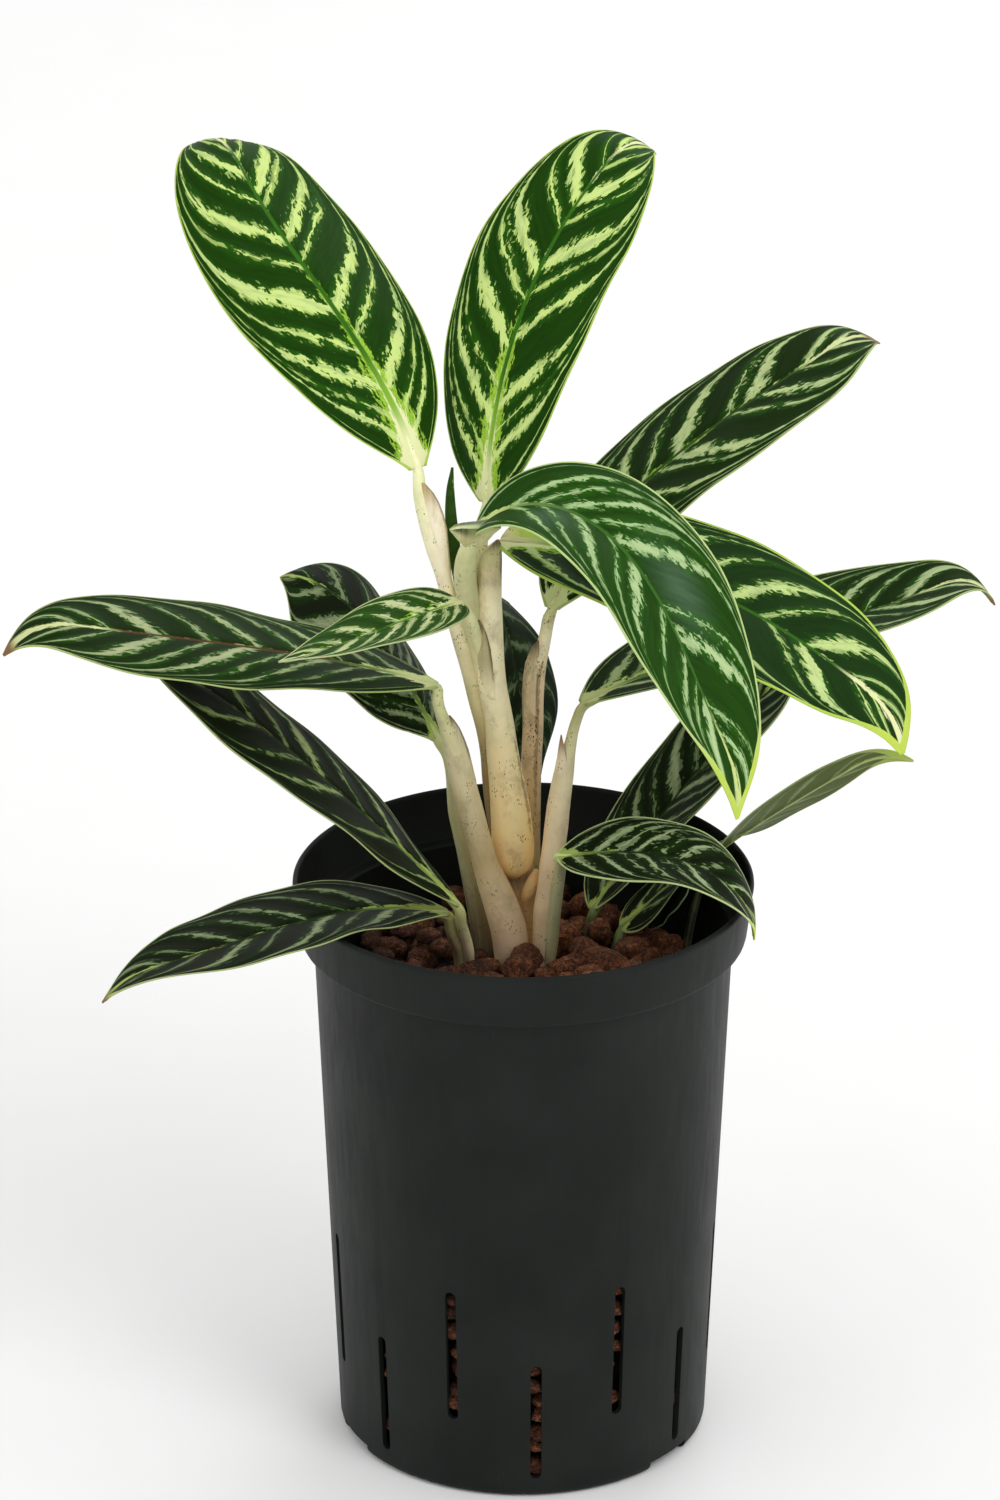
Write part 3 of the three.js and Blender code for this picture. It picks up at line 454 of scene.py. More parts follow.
LEAVES = [
    new_leaf("leaf_top_left", "bright",
        ((-33, 8, 331), 153, 59, (128, 129, 106), (60, 32, 45), (18, -5), -4, 0.14, 76, 0.74, 0.51),
        left=[(0.03, 2.1), (0.09, 0.46), (0.17, 2.8), (0.27, 1.1), (0.375, 3.5), (0.49, 0.53), (0.575, 2.5),
            (0.68, 1.1), (0.75, 2.5), (0.83, 0.4), (0.88, 1.5)],
        right=[(0.02, 1.7), (0.09, 0.59), (0.17, 2.8), (0.295, 0.59), (0.38, 2.2), (0.51, 0.53),
            (0.57, 2.3), (0.665, 0.46), (0.705, 2.5), (0.8, 0.4), (0.87, 1.4)],
        flare=(4.4, 0.8, 0.3), tip_from=0.85),
    new_leaf("leaf_top", "bright",
        ((-12, 17, 315.5), 149, 54, (71, 54, 56), (81, 47, 11), (22, -21), 6, 0.11, 51, 0.79, 0.46),
        left=[(0.03, 2.2), (0.08, 0.53), (0.175, 2.8), (0.235, 0.53), (0.33, 2.8), (0.44, 0.9), (0.5, 2.6),
            (0.62, 0.59), (0.69, 2.4), (0.79, 0.33), (0.86, 1.5)],
        right=[(0.07, 2.8), (0.13, 0.53), (0.2, 2.2), (0.36, 2.4), (0.455, 0.46), (0.515, 2.7),
            (0.63, 0.53), (0.69, 3.1), (0.78, 0.33), (0.85, 1.2)],
        flare=(3.4, 0.9, 0.3), tip_from=0.84),
    new_leaf("leaf_right_upper", "deep",
        ((9, 20, 278), 148, 50, (62, 17, 53), (44, 33, 16), (-6, -12), 7, 0.12, 50, 0.82, 0.49),
        left=[(0.08, 2.1), (0.17, 0.46), (0.25, 1.9), (0.345, 0.53), (0.44, 2.7), (0.57, 0.53), (0.63, 2.8),
            (0.78, 1.1), (0.86, 1.4)],
        right=[(0.1, 2.1), (0.18, 0.46), (0.27, 2.0), (0.375, 0.53), (0.43, 2.5), (0.58, 0.53),
            (0.655, 2.1), (0.76, 0.33), (0.84, 1.4)],
        flare=(4.0, 1.6, 0.7), tip_from=0.78, pale=0xBACB8C, under=0xA6BE58, brown=0.93),
    new_leaf("leaf_drooping", "fresh",
        ((-15, -5, 314.5), 151, 54, (-16, -44, -58), (56, -46, -24), (-19, 21), 21, 0.16, 61, 0.81, 0.47),
        left=[(0.1, 1.5), (0.165, 0.53), (0.225, 1.7), (0.295, 0.46), (0.36, 2.2), (0.525, 0.53),
            (0.59, 3.0), (0.75, 0.4), (0.81, 1.6)],
        right=[(0.09, 1.2), (0.17, 0.4), (0.255, 1.5), (0.345, 0.33), (0.42, 2.3), (0.53, 0.46),
            (0.63, 1.3), (0.69, 0.4), (0.75, 3.6)],
        flare=(2.2, 1.8, 1.6), sheen=[(0.51, -9, 0.09, 6, 0.4), (0.22, 9, 0.05, 8, 0.35)], margin=0.8,
        lime=0.82),
    new_leaf("leaf_right_middle", "bright",
        ((-7.5, 8, 306), 151, 57, (-21, -11, -44), (8, -24, -28), (-16, -21), 11, 0.13, 42, 0.82, 0.48),
        left=[(0.1, 2.1), (0.18, 0.4), (0.27, 2.0), (0.375, 0.46), (0.49, 2.1), (0.575, 0.46), (0.69, 2.5),
            (0.8, 0.46), (0.86, 1.4)],
        right=[(0.01, 2.2), (0.12, 0.4), (0.23, 2.0), (0.34, 0.4), (0.45, 2.0), (0.6, 0.4), (0.66, 2.4),
            (0.81, 0.59), (0.86, 1.2)],
        flare=(4.6, 1.7, 0.7), margin=0.95, tip_from=0.79, lime=0.87, ground=0x1C3A10, pale=0xC3DB88),
    new_leaf("leaf_right_back", "deep",
        ((19, 16, 246.5), 149, 47, (36, 15, 25), (13, 9, 23), (-1, -9), 16, 0.06, 80, 0.82, 0.48),
        left=[(0.04, 2.4), (0.12, 0.4), (0.22, 2.1), (0.31, 0.4), (0.4, 2.1), (0.49, 0.4), (0.575, 2.3),
            (0.66, 0.4), (0.76, 1.7)],
        right=[(0.05, 2.4), (0.13, 0.4), (0.2, 2.1), (0.28, 0.4), (0.36, 2.0), (0.45, 0.4), (0.53, 2.0),
            (0.61, 0.4), (0.69, 1.9), (0.81, 2.1)],
        flare=(3.0, 1.8, 0.7), lime=0.93, brown=0.95),
    new_leaf("leaf_low_back", "silver",
        ((22.5, 26, 169), 115, 36, (50, 38, 63), (35, 37, 13), (11, -13), 19, 0.06, 28, 0.82, 0.44),
        left=[(0.05, 1.5), (0.13, 0.33), (0.22, 1.5), (0.31, 0.33), (0.4, 2.4), (0.5, 0.33), (0.6, 1.7),
            (0.69, 0.33), (0.78, 1.2)],
        right=[(0.06, 1.5), (0.15, 0.33), (0.24, 1.4), (0.33, 0.33), (0.41, 1.4), (0.5, 0.33), (0.58, 1.5),
            (0.67, 0.33), (0.76, 1.2)],
        flare=(1.5, 1.0, 0.5), tip_from=0.82),
    new_leaf("leaf_low_right", "silver",
        ((31.5, 16, 167), 119, 26, (2, -15, 16), (48, 39, 29), (-27, 76), 6, 0.12, 53, 0.81, 0.38),
        left=[(0.05, 1.4), (0.13, 0.33), (0.22, 1.5), (0.31, 0.33), (0.4, 1.5), (0.49, 0.33), (0.58, 1.5),
            (0.75, 1.2)],
        right=[(0.06, 1.4), (0.15, 0.33), (0.24, 1.5), (0.33, 0.33), (0.42, 1.5), (0.51, 0.33), (0.6, 1.5),
            (0.76, 1.2)],
        flare=(1.7, 1.0, 0.5), lime=0.86, under=0x6F7D48),
    new_leaf("leaf_low_front", "silver",
        ((10.5, -17, 208.5), 79, 33, (-23, -10, -10), (15, -12, -87), (-28, 5), 14, 0.13, 4, 0.82, 0.48),
        left=[(0.03, 0.8), (0.17, 1.1), (0.25, 0.26), (0.335, 1.0), (0.42, 0.22), (0.5, 0.8), (0.62, 0.22),
            (0.74, 0.8)],
        right=[(0.05, 0.9), (0.175, 1.1), (0.27, 0.22), (0.35, 1.0), (0.44, 0.22), (0.52, 1.0), (0.7, 0.5)],
        flare=(2.2, 0.8, 0.4), lime=0.86, pale=0xA6B588, edge=0xC9D898, margin=0.65),
    new_leaf("leaf_left_long", "deep",
        ((-27, -10, 264.5), 142, 45, (176, 180, 182), (16, 8, 12), (2, 19), 7, 0.15, 63, 0.8, 0.49),
        left=[(0.06, 0.8), (0.15, 0.4), (0.24, 1.1), (0.33, 0.4), (0.42, 2.4), (0.51, 0.46), (0.61, 2.7),
            (0.72, 0.46), (0.8, 1.0)],
        right=[(0.06, 0.8), (0.14, 0.33), (0.22, 0.9), (0.3, 0.33), (0.4, 1.4), (0.505, 0.4), (0.63, 2.4),
            (0.74, 0.6), (0.81, 1.0)],
        flare=(3.6, 2.0, 0.9), glow=-2.0, tip_from=0.74, brown=0.95, rib=0x5A3A26, pale=0xA3B080),
    new_leaf("leaf_left_small", "bright",
        ((-19.5, -9, 292.5), 73, 25, (248, 212, 209), (20, -7, -1), (26, -10), 14, 0.09, -4, 0.82, 0.46),
        left=[(0.05, 1.4), (0.14, 0.33), (0.24, 1.4), (0.33, 0.33), (0.42, 1.2), (0.52, 0.33), (0.62, 1.1),
            (0.78, 0.59)],
        right=[(0.03, 1.5), (0.14, 0.33), (0.26, 1.9), (0.41, 0.46), (0.55, 1.0), (0.7, 0.33), (0.8, 0.9)],
        flare=(3.0, 0.8, 0.4), glow=1.2, edge=0xC2CC94, tip_from=0.85, ground=0x2A4A14, pale=0xC6D197),
    new_leaf("leaf_left_back", "silver",
        ((-27, 18, 233.5), 79, 43, (124, 165, 137), (41, 51, -15), (-2, 30), -10, 0.2, 13, 0.82, 0.53),
        left=[(0.05, 1.5), (0.13, 0.26), (0.22, 1.4), (0.31, 0.26), (0.4, 1.2), (0.5, 0.26), (0.6, 1.3),
            (0.78, 1.0)],
        right=[(0.05, 1.5), (0.14, 0.26), (0.24, 1.4), (0.32, 0.26), (0.4, 1.0), (0.53, 0.4), (0.7, 1.3),
            (0.84, 0.33)],
        flare=(2.2, 0.4, 0.2), tip_from=0.84),
    new_leaf("leaf_left_low", "silver",
        ((-20.5, -18, 192), 135, 39, (177, 171, 156), (46, 40, 20), (0, 8), 5, 0.13, -6, 0.82, 0.5),
        left=[(0.02, 1.1), (0.2, 0.5), (0.38, 1.4), (0.5, 0.26), (0.64, 1.0), (0.8, 0.4)],
        right=[(0.05, 1.5), (0.19, 2.0), (0.32, 0.33), (0.45, 1.8), (0.56, 0.26), (0.66, 1.0), (0.8, 0.4)],
        flare=(2.6, 0.8, 0.4), tip_from=0.86, pale=0x8A9A60),
    new_leaf("leaf_left_lowest", "silver",
        ((-24, -14, 187), 125, 39, (192, 214, 183), (17, -1, -8), (9, -2), 14, 0.12, 40, 0.8, 0.51),
        left=[(0.01, 1.4), (0.12, 1.6), (0.22, 0.33), (0.33, 2.5), (0.47, 0.4), (0.57, 2.1), (0.7, 0.33),
            (0.81, 1.1)],
        right=[(0.03, 0.9), (0.17, 1.8), (0.28, 0.33), (0.4, 1.6), (0.5, 0.26), (0.6, 1.5), (0.72, 0.33),
            (0.81, 0.9)],
        flare=(3.0, 1.4, 0.7), tip_from=0.83, lime=0.94, brown=0.96),
    new_leaf("leaf_centre_back", "shade",
        ((-8.5, 30, 277.5), 64, 30, (19, -6, 14), (-75, -78, -79), (-35, -63), 0, 0.2, -5, 0.82, 0.49),
        left=[(0.08, 1.4), (0.26, 1.2), (0.44, 1.2), (0.62, 1.0)],
        right=[(0.08, 1.4), (0.24, 1.4), (0.44, 1.2), (0.62, 1.0)],
        flare=(1.8, 0.6, 0.3), tip_from=0.85),
    new_leaf("leaf_in_pot", "plain",
        ((57, 18, 189), 28, 15, (190, 185, 180), (-40, -60, -50), (0, 0), 5, 0.12, 0, 0.82, 0.5),
        left=[(0.2, 0.4), (0.5, 0.4)],
        right=[(0.2, 0.4), (0.5, 0.4)],
        flare=(0.8, 0.3, 0.2), tip_from=0.9),
]
YOUNG_COLOURS = {"ground": 0x35561F, "pale": 0x6F8F45, "rib": 0x46692A, "edge": 0x9FB56A, "cream": 0x9FB56A,
                 "under": 0x55743A}


# Leaves

# Half the width of a blade, as a share of the most, along its length, and where it is widest
OUTLINE = np.array([
    (0, 0.10), (0.04, 0.30), (0.08, 0.47), (0.16, 0.70), (0.25, 0.86), (0.35, 0.96), (0.45, 1),
    (0.55, 0.99), (0.65, 0.92), (0.75, 0.78), (0.83, 0.60), (0.9, 0.38), (0.96, 0.16), (1, 0.03),
])
OUTLINE_WIDEST = 0.48
LEAST_HALF = 0.02
HALF_COLUMNS = [0.02, 0.045, 0.08, 0.12, 0.17, 0.23, 0.29, 0.35, 0.41, 0.47, 0.53, 0.59, 0.65, 0.71, 0.77,
                0.83, 0.88, 0.925, 0.96, 0.985, 1]
COLUMNS = np.array([-s for s in reversed(HALF_COLUMNS)] + [0] + HALF_COLUMNS)
ROW_LENGTH = 1.0
TIP_CROWDING = 1.08
FULL_WIDTH = 55

# How far a side vein runs up the leaf on its way to the margin, as shares of the length
VEIN_SLOPE = 0.18
VEIN_SWEEP = 0.28
VEIN_CROWDING = 0.12
SWEEP_POWER = 10

# More bands follow before the first and after the last one listed: how many, how far apart as a share of the
# length, and how wide against the one they follow. A band's width changes from the midrib to the margin.
MORE_AT_BASE, BASE_GAP, BASE_WIDTH = 4, 0.16, 0.7
MORE_AT_TIP, TIP_GAP, TIP_WIDTH = 3, 0.13, 0.5
TAPER_REACH = [0, 0.06, 0.2, 0.5, 0.7, 0.85, 0.95, 1]
TAPER = [0.5, 0.65, 1, 1.05, 1, 0.8, 0.6, 0.5]
BAND_TRIM = 0.93

QUILT_HEIGHT = 0.22
WAVE_HEIGHT = 0.55
WAVE_COUNTS = (1.7, 2.6, 3.9)
WAVE_SHIFT = 7
GROOVE_DEPTH, GROOVE_REACH = 0.45, 1.1
KEEL_BASE, KEEL_TIP = 1.5, 0.25
KEEL_LEAST_HALF = 1.2
EDGE_SKIN, MORE_SKIN = 0.16, 0.24

FLARE_REACH = 0.42
NECK = 0.035
NECK_FLARE = 30
LIME_RUN, BROWN_RUN = 0.07, 0.03
TIP_MARGIN, LIME_MARGIN, NECK_MARGIN = 0.25, 1.7, 0.8
GLOW_FADE = 1.1
SEED_STEP = 3.7


def through_three(values, t):
    first, middle, last = values
    return first * (1 - t) * (1 - 2 * t) + 4 * middle * t * (1 - t) + last * t * (2 * t - 1)


def midrib(leaf, t):
    """Points on the midrib with its side and its upper face's direction, as the CAD part works them out."""
    heading = np.radians(through_three(leaf["heading"], t))
    bend = leaf["curl"] * smoothstep(leaf["curl_from"], 1, t)
    rise = np.radians(through_three(leaf["rise"], t) - bend)
    roll = np.radians(leaf["roll"][0] + (leaf["roll"][1] - leaf["roll"][0]) * t)
    along = np.stack([np.cos(rise) * np.cos(heading), np.cos(rise) * np.sin(heading), np.sin(rise)], -1)
    level = np.stack([np.sin(heading), -np.cos(heading), 0 * heading], -1)
    upright = np.cross(level, along)
    cos_roll, sin_roll = np.cos(roll)[:, None], np.sin(roll)[:, None]
    side = level * cos_roll + upright * sin_roll
    face = upright * cos_roll - level * sin_roll
    steps = (along[1:] + along[:-1]) / 2 * np.diff(t)[:, None] * leaf["length"]
    point = np.array(leaf["base"]) + np.vstack([np.zeros(3), np.cumsum(steps, 0)])
    return point, side, face


def vein_start(along, reach):
    """Where on the midrib the side vein through a place starts. The veins sweep up along the margin."""
    sweep = reach**SWEEP_POWER
    return (along - VEIN_SLOPE * reach - VEIN_SWEEP * sweep) / (1 - VEIN_CROWDING * sweep)


def band_values(bands, start, reach, length):
    """For one half of a leaf: the count of bands, the distance between two and half the width of one."""
    starts, halves = np.array(bands).T
    marks = np.concatenate([starts[0] - BASE_GAP * np.arange(MORE_AT_BASE, 0, -1), starts,
                            starts[-1] + TIP_GAP * np.arange(1, MORE_AT_TIP + 1)])
    widths = np.concatenate([np.full(MORE_AT_BASE, halves[0] * BASE_WIDTH), halves,
                             np.full(MORE_AT_TIP, halves[-1] * TIP_WIDTH)])
    last = len(marks) - 1
    count = np.interp(start, marks, np.arange(len(marks)))
    cell = np.clip(np.searchsorted(marks, start, side="right") - 1, 0, last - 1)
    pitch = (marks[cell + 1] - marks[cell]) * length
    taper = np.interp(reach, TAPER_REACH, TAPER)
    half = widths[np.clip(np.round(count), 0, last).astype(int)] * taper * BAND_TRIM
    return np.stack([count, pitch, half], -1)


def blade_grid(leaf):
    """A blade's grid of rows along it and columns across it, and what the veins and bands are there."""
    rows = int(leaf["length"] / ROW_LENGTH)
    t = 1 - (1 - np.linspace(0, 1, rows + 1)) ** TIP_CROWDING
    warp = math.log(OUTLINE_WIDEST) / math.log(leaf["widest"])
    half = curve_through(OUTLINE[:, 0], OUTLINE[:, 1:], t**warp)
    half = np.maximum(half, LEAST_HALF) * leaf["width"] / 2
    along, across = np.meshgrid(t, COLUMNS, indexing="ij")
    reach = np.abs(across)
    start = vein_start(along, reach)
    left, right = [band_values(leaf[key], start, reach, leaf["length"]) for key in ("left", "right")]
    half = half * np.ones_like(across)
    return SimpleNamespace(t=t, along=along, across=across, reach=reach, half=half, x=half * across,
                           start=start, left=left, right=right)


def blade_skins(leaf, grid, rng):
    """The upper and the lower skin of a blade, as grids of points."""
    along, across, reach, x = grid.along, grid.across, grid.reach, grid.x
    point, side, face = midrib(leaf, grid.t)
    sin_fold, cos_fold = math.sin(math.radians(leaf["fold"])), math.cos(math.radians(leaf["fold"]))
    lift = grid.half * (reach * sin_fold - leaf["arch"] * across * across)
    count = np.where(across > 0, grid.right[..., 0], grid.left[..., 0])
    quilt = QUILT_HEIGHT * np.cos(2 * math.pi * count)
    quilt = quilt * smoothstep(0.05, 0.3, reach) * (1 - smoothstep(0.7, 1, reach))
    quilt *= smoothstep(0, 0.1, along) * (1 - smoothstep(0.85, 1, along)) * leaf["width"] / FULL_WIDTH
    waves = sum(math.sin(rng.uniform(0, 6.3)) * np.sin(2 * math.pi * (along * waves_along + rng.random()))
                for waves_along in WAVE_COUNTS)
    waves = np.where(across > 0, waves, np.roll(waves, WAVE_SHIFT, axis=0))
    waves = waves * WAVE_HEIGHT * reach**3 * np.sin(math.pi * along)
    groove = GROOVE_DEPTH * np.exp(-((x / GROOVE_REACH) ** 2)) * (1 - 0.8 * along)
    groove = groove * smoothstep(0, 0.04, along)
    keel = (KEEL_BASE * (1 - along) ** 1.4 + KEEL_TIP) * np.exp(-((x / (1.3 - 0.5 * along)) ** 2))
    keel = keel * (grid.half > KEEL_LEAST_HALF)
    skin = EDGE_SKIN + MORE_SKIN * (1 - reach**2)
    slope = np.sign(across) * sin_fold - 2 * leaf["arch"] * across
    size = np.sqrt(slope**2 + cos_fold**2)

    def at_depth(depth):
        sideways = (x * cos_fold - slope / size * depth)[..., None]
        upwards = (lift + waves + cos_fold / size * depth)[..., None]
        return point[:, None] + side[:, None] * sideways + face[:, None] * upwards

    return at_depth(skin + quilt - groove), at_depth(-skin + quilt - keel)


def store_pattern(piece, leaf, grid, seed):
    """What leaf_material reads of the veins, the bands and the margin."""
    along, reach = grid.along, grid.reach
    number = np.full_like(along, seed * SEED_STEP)
    upper = np.repeat([1.0, 0.0], along.size)
    put_vectors(piece, "vein", twice(np.stack([grid.x, grid.start * leaf["length"], number], -1)))
    put_vectors(piece, "flat", twice(np.stack([grid.x, along * leaf["length"], number], -1)))
    put_vectors(piece, "place", np.column_stack([twice(np.stack([grid.across, along], -1)), upper]))
    put_vectors(piece, "left", twice(grid.left))
    put_vectors(piece, "right", twice(grid.right))

    base_flare, left_flare, right_flare = leaf["flare"]
    wedge = base_flare * np.clip(1 - along / FLARE_REACH, 0, 1) ** 2.2
    wedge = wedge + NECK_FLARE * np.clip(NECK - along, 0, 1) * base_flare
    to_tip = np.sqrt(np.clip((along - leaf["tip_from"]) / (1 - leaf["tip_from"]), 0, 1))
    margin = leaf["margin"] + TIP_MARGIN * smoothstep(0.75, 0.9, along)
    margin = margin + LIME_MARGIN * lime_share(leaf, along)
    margin = margin + NECK_MARGIN * (1 - smoothstep(0, 0.06, along)) - (1 - reach) * grid.half
    flares = [wedge + left_flare * to_tip, wedge + right_flare * to_tip]
    put_vectors(piece, "accent", twice(np.stack([*flares, margin], -1)))

    fade = np.clip(GLOW_FADE - along / FLARE_REACH, -0.3, 1) if leaf["glow"] > 0 else np.ones_like(along)
    rib_half = (1.05 - 0.7 * along) * leaf["width"] / FULL_WIDTH
    lit = np.full_like(along, leaf["lit"])
    put_vectors(piece, "glow", twice(np.stack([leaf["glow"] * fade, rib_half, lit], -1)))


def lime_share(leaf, along):
    return np.clip((along - leaf["lime"]) / LIME_RUN, 0, 1)


def store_colours(piece, leaf, grid):
    """A leaf's colours, which change along it, across it and at its brown tip, with grey reflections painted
    on the ground of some.
    """
    along, reach = grid.along, grid.reach
    plain = {key: np.ones((*along.shape, 1)) * srgb(leaf[key])
             for key in ("ground", "pale", "rib", "edge", "cream", "under")}
    ground = plain["ground"]
    # Painted reflection: grey patches painted into the ground colour where the leaf would catch the light
    for share, off, reach_along, reach_across, strength in leaf["sheen"]:
        near = np.exp(-((along - share) / reach_along) ** 2 - ((grid.x - off) / reach_across) ** 2)
        ground = blend(ground, srgb(0x6F8C74), strength * near)
    dull = srgb(0x9DB478) * np.mean(srgb(leaf["pale"])) / 0.5
    pale = blend(plain["pale"], dull, 0.35 * smoothstep(0.45, 1, reach))
    rib = blend(plain["rib"], srgb(leaf["young_rib"]), 1 - smoothstep(0.14, 0.3, along))
    pale_ends = smoothstep(leaf["tip_from"] - 0.04, leaf["tip_from"] + 0.03, along)
    pale_ends = pale_ends + 1 - smoothstep(0.05, 0.15, along)
    rib = blend(rib, plain["cream"], pale_ends)
    edge = blend(plain["edge"], srgb(0xC5DC5C), lime_share(leaf, along))
    brown = smoothstep(leaf["brown"], leaf["brown"] + BROWN_RUN, along)
    for name, values in {**plain, "ground": ground, "pale": pale, "rib": rib, "edge": edge}.items():
        put_colours(piece, name, twice(blend(values, srgb(0x8A6A42), brown)))


def build_leaf(leaf, material, seed):
    """One blade: a thin closed skin with a sunk midrib, a keel below and soft quilting between the veins."""
    grid = blade_grid(leaf)
    upper, lower = blade_skins(leaf, grid, random.Random(seed))
    points, faces = thin_shell(upper, lower, turned=True)
    piece = new_piece(leaf["name"] + "_blade", points, faces, material, "leaf")
    store_pattern(piece, leaf, grid, seed)
    store_colours(piece, leaf, grid)
    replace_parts(piece, leaf["name"])


# Stem values

# Each limb is a route of centre points with the radius there, the leaf it carries and its colours from low
# to high. specks is how thickly the brown specks lie on it and stains how stained it is. A seam runs up it
# at a turn from +X, between two heights.
MOSS = 0xB2AF83


def new_limb(leaf, tones, route, specks=0.2, stains=0.4, seam=None):
    return {"leaf": leaf, "tones": tones, "route": route, "specks": specks, "stains": stains, "seam": seam}


